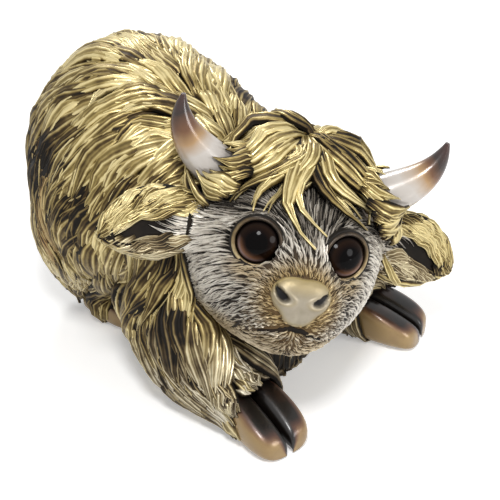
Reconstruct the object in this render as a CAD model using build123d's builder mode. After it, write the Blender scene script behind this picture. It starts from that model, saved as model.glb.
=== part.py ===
"""Calf figurine bowing on its forelegs: resin castings glued together at spigots, pegs and sockets.

Frame: the origin is on the ground, at the middle of the base felt under the brisket.
-Y is the way the body faces, +X is the calf's left and +Z is up.
Lengths are in millimetres and angles in degrees.
"""
import os
from math import cos, degrees, radians, sin, tau

from build123d import *

os.makedirs("parts", exist_ok=True)

# Fits and stock
glue_gap = 0.15
felt_thickness = 1.0
casting_wall = 5.0
oval_points = 10

# Tresses: broad ridges of combed hair, run along a casting and led down from its back
tress_depth = 2.6
tress_pitch = 18.0
tress_full = 78.0
tress_end = 112.5
tress_lead = 7.0
points_per_tress = 4
belly_points = 4
torso_tress_shares = (0.3, 0.8, 1.0, 1.0, 1.0, 1.0, 0.8, 0.4)
head_tress_shares = (0.3, 0.9, 1.0, 0.6, 0.0, 0.0, 0.0, 0.0, 0.0)
leg_tress_shares = (0.7, 0.7, 0.7, 0.4, 0.0)
leg_tress_count = 9
tail_tress_shares = (0.0, 0.4, 0.5, 0.5, 0.4, 0.0)
tail_tress_count = 6

# Torso, drawn as back and belly points of the side view
torso_length = 133.0
torso_height = 133.0
torso_half_width = 47.0
torso_station_shares = (
    (0.840, 0.680, 0.825, 0.540, 0.22),
    (0.805, 0.840, 0.780, 0.360, 0.64),
    (0.705, 0.955, 0.670, 0.220, 0.89),
    (0.530, 0.995, 0.490, 0.150, 1.00),
    (0.320, 0.925, 0.260, 0.100, 1.00),
    (0.140, 0.820, 0.060, -0.025, 0.98),
    (0.040, 0.715, -0.085, -0.030, 0.88),
    (-0.040, 0.590, -0.115, 0.170, 0.60),
)

# Base plug and base felt
plug_radius = 8.0
plug_height = 6.0
base_felt_radius = 12.0

# Head, in its own frame of left, up and forward
head_centre = (-9.0, -19.0, 73.0)
head_yaw = 40.5
head_pitch = 22.0
head_roll = 16.0
head_half_width = 43.0
head_half_height = 42.0
head_half_depth = 46.0
head_station_shares = (
    (-0.87, 0.09, 0.30, 0.32),
    (-0.74, 0.09, 0.62, 0.65),
    (-0.43, 0.07, 0.89, 0.93),
    (-0.04, 0.00, 1.00, 1.00),
    (0.30, -0.10, 0.93, 0.92),
    (0.57, -0.24, 0.76, 0.75),
    (0.80, -0.37, 0.57, 0.59),
    (0.98, -0.43, 0.41, 0.43),
    (1.08, -0.43, 0.22, 0.24),
)
neck_spigot_radius = 12.0
neck_spigot_length = 10.0

# Eyes, glass domes on round seats, with raised lids round them
eye_radius = 9.4
eye_seat_depth = 5.0
eye_dome_height = 4.6
eye_half_spacing = 19.0
eye_height = 4.0
eye_toe_out = 17.0
eyelid_width = 2.2
eyelid_height = 0.8

# Nose pad, a rounded shield with two slanted nostrils
nose_half_width = 14.0
nose_half_height = 11.0
nose_thickness = 2.6
nose_drop = 15.0
nose_outline_shares = (
    (1.00, 0.24),
    (0.68, 0.88),
    (0.00, 0.92),
    (-0.68, 0.88),
    (-1.00, 0.24),
    (-0.68, -0.52),
    (-0.38, -1.02),
    (0.38, -1.02),
    (0.68, -0.52),
)
nostril_half_length = 3.6
nostril_half_width = 1.9
nostril_spacing = 17.0
nostril_rise = 1.0
nostril_tilt = 32.0

# Horns, from the side of the skull out and then up
horn_direction_shares = (0.78, 0.60, 0.17)
horn_length = 46.0
horn_base_radius = 10.0
horn_root_share = 0.97
horn_station_shares = (
    (0.12, 0.092, 0.026, 0.95),
    (0.30, 0.215, 0.055, 0.86),
    (0.45, 0.360, 0.100, 0.66),
    (0.54, 0.540, 0.160, 0.38),
    (0.56, 0.700, 0.220, 0.10),
)
horn_sink = 4.0
horn_spigot_radius = 5.0
horn_spigot_length = 7.0

# Ears, leaf shaped and cupped to the front
ear_direction_shares = {"left": (0.94, 0.14, -0.14), "right": (0.94, 0.08, 0.20)}
ear_length = 42.0
ear_half_width = 16.0
ear_half_thickness = 6.0
ear_droop = 14.0
ear_sweep = 4.0
ear_station_shares = (
    (0.00, 0.55, 1.00),
    (0.20, 0.82, 1.00),
    (0.45, 1.00, 0.95),
    (0.68, 0.88, 0.80),
    (0.87, 0.54, 0.60),
    (1.00, 0.14, 0.26),
)
ear_cup_width_share = 0.62
ear_cup_depth_share = 0.80
ear_sink = 5.0
ear_tenon_radius = 3.6
ear_tenon_length = 9.0

# Forelock, a cap over the crown with curled locks on it, each by its turn from the front and its tip's fall
cap_thickness = 6.5
cap_half_span = 42.0
cap_edge_share = 0.60
cap_back_reach = 25.0
cap_horn_gap = 2.0
lock_half_width = 7.6
lock_half_height = 4.4
lock_stand = 6.0
lock_curl = 16.0
lock_falls = {
    -104.0: 60.0, -76.0: 64.0, -50.0: 58.0, -25.0: 58.0, 2.0: 80.0,
    27.0: 62.0, 52.0: 62.0, 78.0: 64.0, 106.0: 58.0,
}
lock_station_shares = (
    (0.12, 0.60, 0.90, 1.00),
    (0.36, 1.00, 1.00, 0.95),
    (0.62, 0.96, 0.95, 0.75),
    (0.85, 0.62, 0.70, 0.50),
    (1.00, 0.16, 0.24, 0.40),
)

# Forelegs, from the shoulder out along the ground
foreleg_reach = 50.0
foreleg_spread = 44.0
foreleg_height = 46.0
foreleg_radius = 23.0
foreleg_station_shares = (
    (0.66, 0.56, 1.00, 1.00, 1.10),
    (0.82, 0.30, 0.72, 1.00, 1.08),
    (0.93, 0.02, 0.49, 0.90, 0.90),
    (0.98, -0.28, 0.36, 0.76, 0.70),
    (1.01, -0.50, 0.29, 0.62, 0.54),
)

# Hind legs, from the hip down to the fetlock
hind_leg_height = 88.0
hind_leg_setback = 88.0
hind_leg_spread = 32.0
hind_leg_radius = 25.0
hind_leg_station_shares = (
    (0.74, 0.68, 1.00, 0.96, 1.25),
    (0.94, 0.78, 0.72, 0.92, 1.20),
    (0.80, 0.93, 0.45, 0.72, 0.88),
    (0.63, 1.00, 0.25, 0.54, 0.58),
    (0.58, 0.99, 0.15, 0.46, 0.48),
)
leg_peg_radius = 5.0
leg_peg_grip = 4.0

# Hooves, each of two toes with a cleft between them, a heel and two dewclaws
fore_hoof_length = 32.0
fore_hoof_half_width = 13.0
fore_hoof_height = 21.0
fore_hoof_splay = 13.0
hind_hoof_length = 30.0
hind_hoof_half_width = 11.0
hind_hoof_height = 16.0
hind_hoof_splay = 3.0
toe_station_shares = (
    (0.00, 0.50, 0.44, 0.90),
    (0.25, 0.51, 0.46, 1.00),
    (0.55, 0.52, 0.46, 0.88),
    (0.80, 0.47, 0.40, 0.62),
    (0.95, 0.38, 0.29, 0.36),
    (1.00, 0.30, 0.14, 0.20),
)
heel_station_shares = (
    (-0.04, 0.80, 0.80),
    (0.16, 0.96, 0.92),
    (0.32, 0.86, 0.86),
    (0.42, 0.50, 0.60),
)
sole_sink_share = 0.15
dewclaw_radius = 3.6
dewclaw_place_shares = (0.06, 0.72, 0.84)
hoof_peg_radius = 4.0
hoof_peg_length = 7.0
hoof_felt_place_share = 0.42
hoof_felt_radius = 6.0

# Tail, hanging behind the rump and leaning to the calf's right
tail_length = 66.0
tail_radius = 8.0
tail_lean = 14.0
tail_standoff = 9.0
tail_root_height = 107.0
tail_station_shares = (
    (0.00, -0.40, 0.00, 0.75),
    (0.12, 0.60, 0.04, 0.80),
    (0.36, 1.00, 0.25, 0.90),
    (0.64, 0.95, 0.60, 1.00),
    (0.87, 0.65, 0.85, 0.72),
    (1.00, 0.40, 1.00, 0.20),
)
tail_peg_radius = 3.0


def oval(half_width, half_height):
    """Points of an ellipse, from its own +X side round."""
    turns = [tau * step / oval_points for step in range(oval_points)]
    return [(half_width * cos(turn), half_height * sin(turn)) for turn in turns]


def combed_oval(half_width, half_height, depth, lead):
    """Points of an ellipse with tresses on its upper part, led down both sides from its back."""
    half_turn = degrees(tau / 2)
    pitch_step = tress_pitch / points_per_tress
    belly_step = (half_turn - tress_end) / belly_points
    drops = [step * pitch_step for step in range(round(tress_end / pitch_step))]
    drops += [tress_end + step * belly_step for step in range(belly_points + 1)]
    drops += [2 * half_turn - drop for drop in drops[-2:0:-1]]
    points = []
    for drop in drops:
        down = min(drop, 2 * half_turn - drop)
        fade = min(max((tress_end - down) / (tress_end - tress_full), 0), 1)
        stand = depth * fade * (1 + cos(tau * (down - lead) / tress_pitch)) / 2
        across, up = -sin(radians(drop)), cos(radians(drop))
        points.append(((half_width + stand) * across, (half_height + stand) * up))
    return points


def ringed_oval(half_width, half_height, depth, count):
    """Points of an ellipse with a number of equal tresses all round."""
    points = []
    for step in range(points_per_tress * count):
        turn = tau * step / (points_per_tress * count)
        stand = depth * (1 + cos(count * turn)) / 2
        points.append(((half_width + stand) * cos(turn), (half_height + stand) * sin(turn)))
    return points


def outlined(outlines):
    """A smooth solid through closed outlines, each a plane with its points."""
    with BuildPart() as solid:
        for plane, points in outlines:
            times = [step / len(points) for step in range(len(points) + 1)]
            with BuildSketch(plane):
                with BuildLine():
                    add(Edge.make_spline(points, periodic=True, parameters=times))
                make_face()
        loft()
    return solid.part


def lofted(stations):
    """A smooth solid through ovals, each a plane with a half width and a half height."""
    return outlined([(plane, oval(wide, tall)) for plane, wide, tall in stations])


def combed(stations, shares):
    """A solid through ovals with tresses, whose crests move down the sides from station to station."""
    last = len(stations) - 1
    return outlined([
        (plane, combed_oval(wide, tall, share * tress_depth, (last - index) * tress_lead))
        for index, ((plane, wide, tall), share) in enumerate(zip(stations, shares))
    ])


def ringed(stations, shares, count):
    """A solid through ovals with tresses all round."""
    return outlined([
        (plane, ringed_oval(wide, tall, share * tress_depth, count))
        for (plane, wide, tall), share in zip(stations, shares)
    ])


def along(points, across):
    """Planes at the points of a path, square to it, with their X near the direction across."""
    planes = []
    for index, point in enumerate(points):
        before = Vector(*points[max(index - 1, 0)])
        after = Vector(*points[min(index + 1, len(points) - 1)])
        forward = (after - before).normalized()
        side = Vector(*across) - forward * Vector(*across).dot(forward)
        planes.append(Plane(origin=point, x_dir=side, z_dir=forward))
    return planes


def skin_point(solid, start, towards):
    """The point where a ray from inside the solid leaves it for the last time."""
    ray = Axis(start, towards)
    hits = [hit for face in solid.faces() for hit, _ in face.find_intersection_points(ray)]
    return max(hits, key=lambda hit: (hit - Vector(*start)).dot(ray.direction))


def rod(start, towards, radius, behind, ahead):
    """A round rod about a ray, from behind its start to ahead of it."""
    direction = Vector(*towards).normalized()
    with BuildPart() as solid:
        with BuildSketch(Plane(origin=Vector(*start) - direction * behind, z_dir=direction)):
            Circle(radius)
        extrude(amount=behind + ahead)
    return solid.part


def torso_stations(inset):
    """Planes and half sizes of the torso's sections, each drawn in by the inset."""
    stations = []
    for back_y, back_z, belly_y, belly_z, half_width in torso_station_shares:
        back = Vector(0, back_y * torso_length, back_z * torso_height)
        belly = Vector(0, belly_y * torso_length, belly_z * torso_height)
        rise = back - belly
        plane = Plane(origin=(back + belly) / 2, x_dir=(1, 0, 0), z_dir=(0, -rise.Z, rise.Y))
        stations.append((plane, half_width * torso_half_width - inset, rise.length / 2 - inset))
    return stations


def head_point(left, up, forward):
    """A point of the head's own frame."""
    return head_frame.from_local_coords((left, up, forward))


def head_way(shares, side):
    """A direction of the head's own frame, mirrored to its right where side is negative."""
    left, up, forward = shares
    way = head_frame.x_dir * (left * side) + head_frame.y_dir * up + head_frame.z_dir * forward
    return way.normalized()


def head_stations(growth):
    """Planes and half sizes of the head's sections, each grown by the same amount."""
    stations = []
    for depth, rise, half_width, half_height in head_station_shares:
        origin = head_point(0, rise * head_half_height, depth * (head_half_depth + growth))
        plane = Plane(origin=origin, x_dir=head_frame.x_dir, z_dir=head_frame.z_dir)
        wide = half_width * head_half_width + growth
        tall = half_height * head_half_height + growth
        stations.append((plane, wide, tall))
    return stations


def leg_points(spread, reach, height, shares, side):
    """Centres of a leg's sections, for the calf's left or right side."""
    return [(side * x * spread, y * reach, z * height) for x, y, z, _, _ in shares]


def leg_blank(points, radius, shares):
    """A leg before it is trimmed to the torso."""
    planes = along(points, (1, 0, 0))
    stations = [(plane, row[3] * radius, row[4] * radius) for plane, row in zip(planes, shares)]
    return ringed(stations, leg_tress_shares, leg_tress_count)


def hoof_frame(fetlock, splay, side):
    """A hoof's own frame on its sole: forward, left and up from under the fetlock."""
    forward = (side * sin(radians(splay)), -cos(radians(splay)), 0)
    return Plane(origin=(fetlock.X, fetlock.Y, felt_thickness), x_dir=forward, z_dir=(0, 0, 1))


def hoof_station(frame, forward, left, half_width, height):
    """One upright section of a toe or heel, whose foot dips below the sole."""
    foot = -sole_sink_share * height
    origin = frame.from_local_coords((forward, left, (height + foot) / 2))
    plane = Plane(origin=origin, x_dir=frame.y_dir, z_dir=frame.x_dir)
    return plane, half_width, (height - foot) / 2


# Head frame: yaw to the calf's right, pitch up, then roll towards its left
face_way = Vector(
    -sin(radians(head_yaw)) * cos(radians(head_pitch)),
    -cos(radians(head_yaw)) * cos(radians(head_pitch)),
    sin(radians(head_pitch)),
)
level_left = Vector(cos(radians(head_yaw)), -sin(radians(head_yaw)), 0)
level_up = face_way.cross(level_left)
rolled_left = level_left * cos(radians(head_roll)) - level_up * sin(radians(head_roll))
head_frame = Plane(origin=head_centre, x_dir=rolled_left, z_dir=face_way)

# Blanks that other pieces are trimmed by
torso_blank = combed(torso_stations(0), torso_tress_shares)
torso_hollow = lofted(torso_stations(casting_wall)[1:-1])
head_blank = combed(head_stations(0), head_tress_shares)
sides = ((1, "left"), (-1, "right"))

# Seats: where the neck, the tail and each feature of the head leave the skin that carries them
neck_start = torso_stations(0)[-2][0].origin
neck_way = (Vector(*head_centre) - neck_start).normalized()
neck_seat = skin_point(torso_blank, neck_start, neck_way)
rear_way = Vector(0, 1, 0)
tail_seat = skin_point(torso_blank, (0, torso_length / 2, tail_root_height), rear_way)
eye_seats = {}
horn_seats = {}
ear_seats = {}
for side, name in sides:
    eye_middle = head_point(side * eye_half_spacing, eye_height, 0)
    gaze = head_way((sin(radians(eye_toe_out)), 0, cos(radians(eye_toe_out))), side)
    eye_seats[name] = (skin_point(head_blank, eye_middle, face_way), gaze)
    horn_way = head_way(horn_direction_shares, side)
    horn_seats[name] = (skin_point(head_blank, head_centre, horn_way), horn_way)
    ear_way = head_way(ear_direction_shares[name], side)
    ear_seats[name] = (skin_point(head_blank, head_centre, ear_way), ear_way)

# Leg blanks, with the seats of the pegs that hold them to the torso
leg_blanks = {}
leg_seats = {}
fetlocks = {}
for side, name in sides:
    fore_points = leg_points(foreleg_spread, foreleg_reach, foreleg_height, foreleg_station_shares, side)
    hind_points = leg_points(
        hind_leg_spread, hind_leg_setback, hind_leg_height, hind_leg_station_shares, side
    )
    leg_blanks[f"{name}_foreleg"] = leg_blank(fore_points, foreleg_radius, foreleg_station_shares)
    leg_blanks[f"{name}_hind_leg"] = leg_blank(hind_points, hind_leg_radius, hind_leg_station_shares)
    for leg, points in ((f"{name}_foreleg", fore_points), (f"{name}_hind_leg", hind_points)):
        outward = Vector(side, 0, 0)
        leg_seats[leg] = (skin_point(torso_blank, (0, points[1][1], points[1][2]), outward), outward)
        ankle_way = (Vector(*points[-1]) - Vector(*points[-2])).normalized()
        fetlocks[leg] = (Vector(*points[-1]), ankle_way)

# Torso: a hollow casting with a flat brisket, a pour hole, a neck spigot and peg holes
with BuildPart() as torso_shell:
    add(torso_blank)
    add(torso_hollow, mode=Mode.SUBTRACT)
    add(rod(neck_seat, neck_way, neck_spigot_radius, casting_wall, neck_spigot_length))
    add(rod(tail_seat, rear_way, tail_peg_radius + glue_gap, casting_wall, casting_wall), mode=Mode.SUBTRACT)
    for seat, outward in leg_seats.values():
        hole = rod(seat, outward, leg_peg_radius + glue_gap, 2 * casting_wall, casting_wall)
        add(hole, mode=Mode.SUBTRACT)
    with BuildSketch(Plane.XY.offset(felt_thickness)):
        Rectangle(2 * torso_length, 2 * torso_length)
    extrude(amount=-torso_height, mode=Mode.SUBTRACT)
    with BuildSketch(Plane.XY.offset(felt_thickness)):
        Circle(plug_radius)
    extrude(amount=3 * casting_wall, mode=Mode.SUBTRACT)
torso_shell.part.label = "torso_shell"
export_step(torso_shell.part, "parts/torso_shell.step")

# Base plug, glued into the pour hole under the brisket
with BuildPart() as base_plug:
    with BuildSketch(Plane.XY.offset(felt_thickness)):
        Circle(plug_radius - glue_gap)
    extrude(amount=plug_height)
base_plug.part.label = "base_plug"
export_step(base_plug.part, "parts/base_plug.step")

# Base felt, on which the brisket rests
with BuildPart() as base_felt:
    with BuildSketch():
        Circle(base_felt_radius)
    extrude(amount=felt_thickness)
base_felt.part.label = "base_felt"
export_step(base_felt.part, "parts/base_felt.step")

# Legs, trimmed to the torso, pegged into it and bored for the hooves' pegs
for leg, blank in leg_blanks.items():
    seat, outward = leg_seats[leg]
    fetlock, ankle_way = fetlocks[leg]
    with BuildPart() as limb:
        add(blank)
        add(torso_blank, mode=Mode.SUBTRACT)
        add(rod(seat, outward, leg_peg_radius, casting_wall, leg_peg_grip))
        bore = rod(fetlock, ankle_way, hoof_peg_radius + glue_gap, hoof_peg_length, 0)
        add(bore, mode=Mode.SUBTRACT)
    limb.part.label = leg
    export_step(limb.part, f"parts/{leg}.step")

# Hooves: two toes and a heel, trimmed to the leg and to a flat sole
hoof_frames = {}
for side, name in sides:
    for end, leg, length, half_width, height, splay in (
        ("fore", "foreleg", fore_hoof_length, fore_hoof_half_width, fore_hoof_height, fore_hoof_splay),
        ("hind", "hind_leg", hind_hoof_length, hind_hoof_half_width, hind_hoof_height, hind_hoof_splay),
    ):
        fetlock, ankle_way = fetlocks[f"{name}_{leg}"]
        frame = hoof_frame(fetlock, splay, side)
        hoof_frames[f"{name}_{end}"] = (frame, length)
        toes = []
        for half in (1, -1):
            middle = half * half_width
            toes.append(lofted([
                hoof_station(frame, ahead * length, out * middle, wide * half_width, tall * height)
                for ahead, out, wide, tall in toe_station_shares
            ]))
        heel = lofted([
            hoof_station(frame, ahead * length, 0, wide * half_width, tall * height)
            for ahead, wide, tall in heel_station_shares
        ])
        claw_x, claw_y, claw_z = dewclaw_place_shares
        with BuildPart() as hoof:
            add(toes)
            add(heel)
            for half in (1, -1):
                claw = (claw_x * length, half * claw_y * half_width, claw_z * height)
                with Locations(frame.from_local_coords(claw)):
                    Sphere(dewclaw_radius)
            with BuildSketch(Plane.XY.offset(felt_thickness)):
                Rectangle(2 * torso_length, 2 * torso_length)
            extrude(amount=-height, mode=Mode.SUBTRACT)
            add(leg_blanks[f"{name}_{leg}"], mode=Mode.SUBTRACT)
            add(rod(fetlock, ankle_way, hoof_peg_radius, hoof_peg_length, hoof_peg_length))
        hoof.part.label = f"{name}_{end}_hoof"
        export_step(hoof.part, f"parts/{name}_{end}_hoof.step")

# Hoof felts, one under each hoof
with BuildPart() as hoof_felts:
    for frame, length in hoof_frames.values():
        spot = frame.from_local_coords((hoof_felt_place_share * length, 0, -felt_thickness))
        with BuildSketch(Plane(origin=spot, x_dir=frame.x_dir, z_dir=(0, 0, 1))):
            Circle(hoof_felt_radius)
        extrude(amount=felt_thickness)
hoof_felts.part.label = "hoof_felts"
export_step(hoof_felts.part, "parts/hoof_felts.step")

# Tail, trimmed to the rump and haunches and pegged into the torso
tail_points = [
    tail_seat + Vector(-lean * tail_lean, standoff * tail_standoff, -drop * tail_length)
    for drop, standoff, lean, _ in tail_station_shares
]
tail_planes = along([tuple(point) for point in tail_points], (1, 0, 0))
tail_stations = [
    (plane, row[3] * tail_radius, row[3] * tail_radius)
    for plane, row in zip(tail_planes, tail_station_shares)
]
tail_blank = ringed(tail_stations, tail_tress_shares, tail_tress_count)
with BuildPart() as tail:
    add(tail_blank)
    add(torso_blank, mode=Mode.SUBTRACT)
    for leg in ("left_hind_leg", "right_hind_leg"):
        add(leg_blanks[leg], mode=Mode.SUBTRACT)
    add(rod(tail_seat, rear_way, tail_peg_radius, casting_wall, tail_peg_radius))
tail.part.label = "tail"
export_step(tail.part, "parts/tail.step")

# Head: a casting seated on the neck, with raised eyelids and sockets for its features
with BuildPart() as head_shell:
    add(head_blank)
    for seat, gaze in eye_seats.values():
        add(rod(seat, gaze, eye_radius + eyelid_width, eye_seat_depth, eyelid_height))
    add(torso_blank, mode=Mode.SUBTRACT)
    for leg in ("left_foreleg", "right_foreleg"):
        add(leg_blanks[leg], mode=Mode.SUBTRACT)
    add(
        rod(neck_seat, neck_way, neck_spigot_radius + glue_gap, casting_wall, neck_spigot_length),
        mode=Mode.SUBTRACT,
    )
    for seat, gaze in eye_seats.values():
        add(rod(seat, gaze, eye_radius + glue_gap, eye_seat_depth, eye_radius), mode=Mode.SUBTRACT)
    for seat, way in horn_seats.values():
        add(rod(seat, way, horn_base_radius + glue_gap, horn_sink, horn_base_radius), mode=Mode.SUBTRACT)
        spigot_bottom = horn_sink + horn_spigot_length
        add(rod(seat, way, horn_spigot_radius + glue_gap, spigot_bottom, 0), mode=Mode.SUBTRACT)
    for seat, way in ear_seats.values():
        add(rod(seat, way, ear_tenon_radius + glue_gap, ear_tenon_length, ear_sink), mode=Mode.SUBTRACT)
head_shell.part.label = "head_shell"
export_step(head_shell.part, "parts/head_shell.step")

# Eyes: each a domed glass button, turned about its gaze
dome_radius = (eye_radius**2 + eye_dome_height**2) / (2 * eye_dome_height)
shoulder_height = (dome_radius**2 - (eye_radius / 2) ** 2) ** 0.5 - (dome_radius - eye_dome_height)
for name, (seat, gaze) in eye_seats.items():
    across = head_frame.y_dir.cross(gaze).normalized()
    with BuildPart() as eye:
        with BuildSketch(Plane(origin=seat, x_dir=across, z_dir=across.cross(gaze))):
            with BuildLine():
                Polyline(
                    (0, eye_dome_height),
                    (0, -eye_seat_depth),
                    (eye_radius, -eye_seat_depth),
                    (eye_radius, 0),
                )
                ThreePointArc((eye_radius, 0), (eye_radius / 2, shoulder_height), (0, eye_dome_height))
            make_face()
        revolve(axis=Axis(seat, gaze))
    eye.part.label = f"{name}_eye"
    export_step(eye.part, f"parts/{name}_eye.step")

# Nose pad: a skin over the end of the muzzle, pierced by the nostrils
nose_plane = Plane(origin=head_point(0, -nose_drop, head_half_depth / 2), x_dir=rolled_left, z_dir=face_way)
nose_outline = [(x * nose_half_width, y * nose_half_height) for x, y in nose_outline_shares]
with BuildPart() as nose_pad:
    with BuildSketch(nose_plane):
        with BuildLine():
            Spline(*nose_outline, periodic=True)
        make_face()
        for side, _ in sides:
            tilt = side * nostril_tilt
            with Locations((side * nostril_spacing / 2, nostril_rise)):
                Ellipse(nostril_half_length, nostril_half_width, rotation=tilt, mode=Mode.SUBTRACT)
    extrude(amount=head_half_depth)
    add(lofted(head_stations(nose_thickness)), mode=Mode.INTERSECT)
    add(head_blank, mode=Mode.SUBTRACT)
nose_pad.part.label = "nose_pad"
export_step(nose_pad.part, "parts/nose_pad.step")

# Horns: curved cones whose sunk roots end in spigots
for side, name in sides:
    seat, way = horn_seats[name]
    points = [seat - way * horn_sink]
    radii = [horn_root_share * horn_base_radius]
    for out, up, ahead, radius in horn_station_shares:
        points.append(
            seat
            + head_frame.x_dir * (side * out * horn_length)
            + head_frame.y_dir * (up * horn_length)
            + head_frame.z_dir * (ahead * horn_length)
        )
        radii.append(radius * horn_base_radius)
    planes = along([tuple(point) for point in points], tuple(head_frame.z_dir))
    with BuildPart() as horn:
        add(lofted([(plane, radius, radius) for plane, radius in zip(planes, radii)]))
        add(rod(seat, way, horn_spigot_radius, horn_sink + horn_spigot_length, 0))
    horn.part.label = f"{name}_horn"
    export_step(horn.part, f"parts/{name}_horn.step")

# Ears: cupped leaves trimmed to the head, each on a tenon
ear_blanks = {}
for side, name in sides:
    seat, way = ear_seats[name]
    points = [
        seat
        + way * (reach * (ear_length + ear_sink) - ear_sink)
        - head_frame.y_dir * (reach**2 * ear_droop)
        - head_frame.z_dir * (reach**2 * ear_sweep)
        for reach, _, _ in ear_station_shares
    ]
    planes = along([tuple(point) for point in points], tuple(head_frame.y_dir))
    ear_blanks[name] = lofted([
        (plane, row[1] * ear_half_width, row[2] * ear_half_thickness)
        for plane, row in zip(planes, ear_station_shares)
    ])
    cup = []
    for plane, row in list(zip(planes, ear_station_shares))[1:-1]:
        origin = plane.origin + head_frame.z_dir * (row[2] * ear_half_thickness)
        cup_plane = Plane(origin=origin, x_dir=plane.x_dir, z_dir=plane.z_dir)
        wide = row[1] * ear_half_width * ear_cup_width_share
        deep = row[2] * ear_half_thickness * ear_cup_depth_share
        cup.append((cup_plane, wide, deep))
    with BuildPart() as ear:
        add(ear_blanks[name])
        add(lofted(cup), mode=Mode.SUBTRACT)
        add(head_blank, mode=Mode.SUBTRACT)
        add(torso_blank, mode=Mode.SUBTRACT)
        add(rod(seat, way, ear_tenon_radius, ear_tenon_length, ear_sink))
    ear.part.label = f"{name}_ear"
    export_step(ear.part, f"parts/{name}_ear.step")

# Forelock locks: ovals along a path over the skull, from near the crown to the fringe
locks = []
for turn, fall in lock_falls.items():
    points = []
    for reach, _, _, stand in lock_station_shares:
        round_crown = radians(turn + reach**2 * lock_curl)
        down = radians(reach * fall)
        way = head_way((sin(down) * sin(round_crown), cos(down), sin(down) * cos(round_crown)), 1)
        points.append(tuple(skin_point(head_blank, head_centre, way) + way * (stand * lock_stand)))
    across = head_way((cos(radians(turn)), 0, -sin(radians(turn))), 1)
    locks.append(lofted([
        (plane, row[1] * lock_half_width, row[2] * lock_half_height)
        for plane, row in zip(along(points, tuple(across)), lock_station_shares)
    ]))

# Forelock: the cap and its locks, trimmed to the skull, the torso, the eyes, the horns and the ears
with BuildPart() as forelock:
    with BuildSketch(head_frame.offset(-cap_back_reach)):
        with Locations((0, (1 + cap_edge_share) * head_half_height)):
            Rectangle(2 * cap_half_span, 2 * head_half_height)
    extrude(amount=cap_back_reach + 2 * head_half_depth)
    add(lofted(head_stations(cap_thickness)), mode=Mode.INTERSECT)
    add(locks)
    add(head_blank, mode=Mode.SUBTRACT)
    add(torso_blank, mode=Mode.SUBTRACT)
    for seat, gaze in eye_seats.values():
        lid_radius = eye_radius + eyelid_width + glue_gap
        add(rod(seat, gaze, lid_radius, eye_radius, 2 * eye_radius), mode=Mode.SUBTRACT)
    for seat, way in horn_seats.values():
        opening = rod(seat, way, horn_base_radius + cap_horn_gap, horn_sink, 2 * horn_base_radius)
        add(opening, mode=Mode.SUBTRACT)
    for blank in ear_blanks.values():
        add(blank, mode=Mode.SUBTRACT)
forelock.part.label = "forelock"
export_step(forelock.part, "parts/forelock.step")
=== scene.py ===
"""Calf figurine: the finish of its castings, its combed hair, eyes, nose, hooves and the studio round it.

Lengths are written in millimetres and multiplied by MM where they meet the frame, which is in metres.
-Y is the way the body faces, +X is the calf's left and +Z is up, as in the castings.
"""
from math import cos, radians, sin

import bmesh
import bpy
import numpy as np
from mathutils import Matrix


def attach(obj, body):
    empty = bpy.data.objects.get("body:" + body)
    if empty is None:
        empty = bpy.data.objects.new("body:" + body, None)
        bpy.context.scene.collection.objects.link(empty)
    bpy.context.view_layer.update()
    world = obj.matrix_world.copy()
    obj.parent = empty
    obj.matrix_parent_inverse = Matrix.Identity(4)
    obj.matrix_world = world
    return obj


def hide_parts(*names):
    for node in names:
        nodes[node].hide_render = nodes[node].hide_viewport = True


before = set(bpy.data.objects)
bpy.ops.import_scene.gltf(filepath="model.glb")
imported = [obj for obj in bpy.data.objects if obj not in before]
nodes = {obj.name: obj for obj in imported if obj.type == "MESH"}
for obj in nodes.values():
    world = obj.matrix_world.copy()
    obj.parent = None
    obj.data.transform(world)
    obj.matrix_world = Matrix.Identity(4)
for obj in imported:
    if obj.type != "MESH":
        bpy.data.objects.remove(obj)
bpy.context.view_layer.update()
MM = 0.001
scene = bpy.context.scene

# Head frame of the castings: left, up and forward from the middle of the skull
HEAD_CENTRE = np.array((-9.0, -19.0, 73.0))
HEAD_YAW, HEAD_PITCH, HEAD_ROLL = radians(40.5), radians(22.0), radians(16.0)
face_way = np.array((
    -sin(HEAD_YAW) * cos(HEAD_PITCH),
    -cos(HEAD_YAW) * cos(HEAD_PITCH),
    sin(HEAD_PITCH),
))
level_left = np.array((cos(HEAD_YAW), -sin(HEAD_YAW), 0.0))
head_left = level_left * cos(HEAD_ROLL) - np.cross(face_way, level_left) * sin(HEAD_ROLL)
head_up = np.cross(face_way, head_left)
HEAD_AXES = np.stack((head_left, head_up, face_way))


def to_head(points):
    """World millimetres as left, up and forward of the head."""
    return (np.asarray(points) - HEAD_CENTRE) @ HEAD_AXES.T


def from_head(points):
    """Left, up and forward of the head as world millimetres."""
    return np.asarray(points) @ HEAD_AXES + HEAD_CENTRE


def unit(vectors):
    """Vectors scaled to length one, with a floor that keeps a zero vector finite."""
    return vectors / np.maximum(np.linalg.norm(vectors, axis=-1, keepdims=True), 1e-9)


def smooth(edge0, edge1, values):
    """The smooth step from 0 at the first edge to 1 at the second."""
    t = np.clip((values - edge0) / (edge1 - edge0), 0, 1)
    return t * t * (3 - 2 * t)


# Materials

def ramp_node(tree, factor, stops):
    """A colour ramp fed by a factor, through stops of place and colour or grey."""
    node = tree.nodes.new("ShaderNodeValToRGB")
    elements = node.color_ramp.elements
    while len(elements) < len(stops):
        elements.new(0.5)
    for element, (place, colour) in zip(elements, stops):
        element.position = place
        element.color = (*colour, 1) if isinstance(colour, tuple) else (colour, colour, colour, 1)
    tree.links.new(factor, node.inputs["Fac"])
    return node.outputs["Color"]


def math_node(tree, operation, first, second=0.0):
    """One arithmetic step on sockets or numbers."""
    node = tree.nodes.new("ShaderNodeMath")
    node.operation = operation
    for socket, value in zip(node.inputs, (first, second)):
        if isinstance(value, (int, float)):
            socket.default_value = value
        else:
            tree.links.new(value, socket)
    return node.outputs[0]


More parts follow.
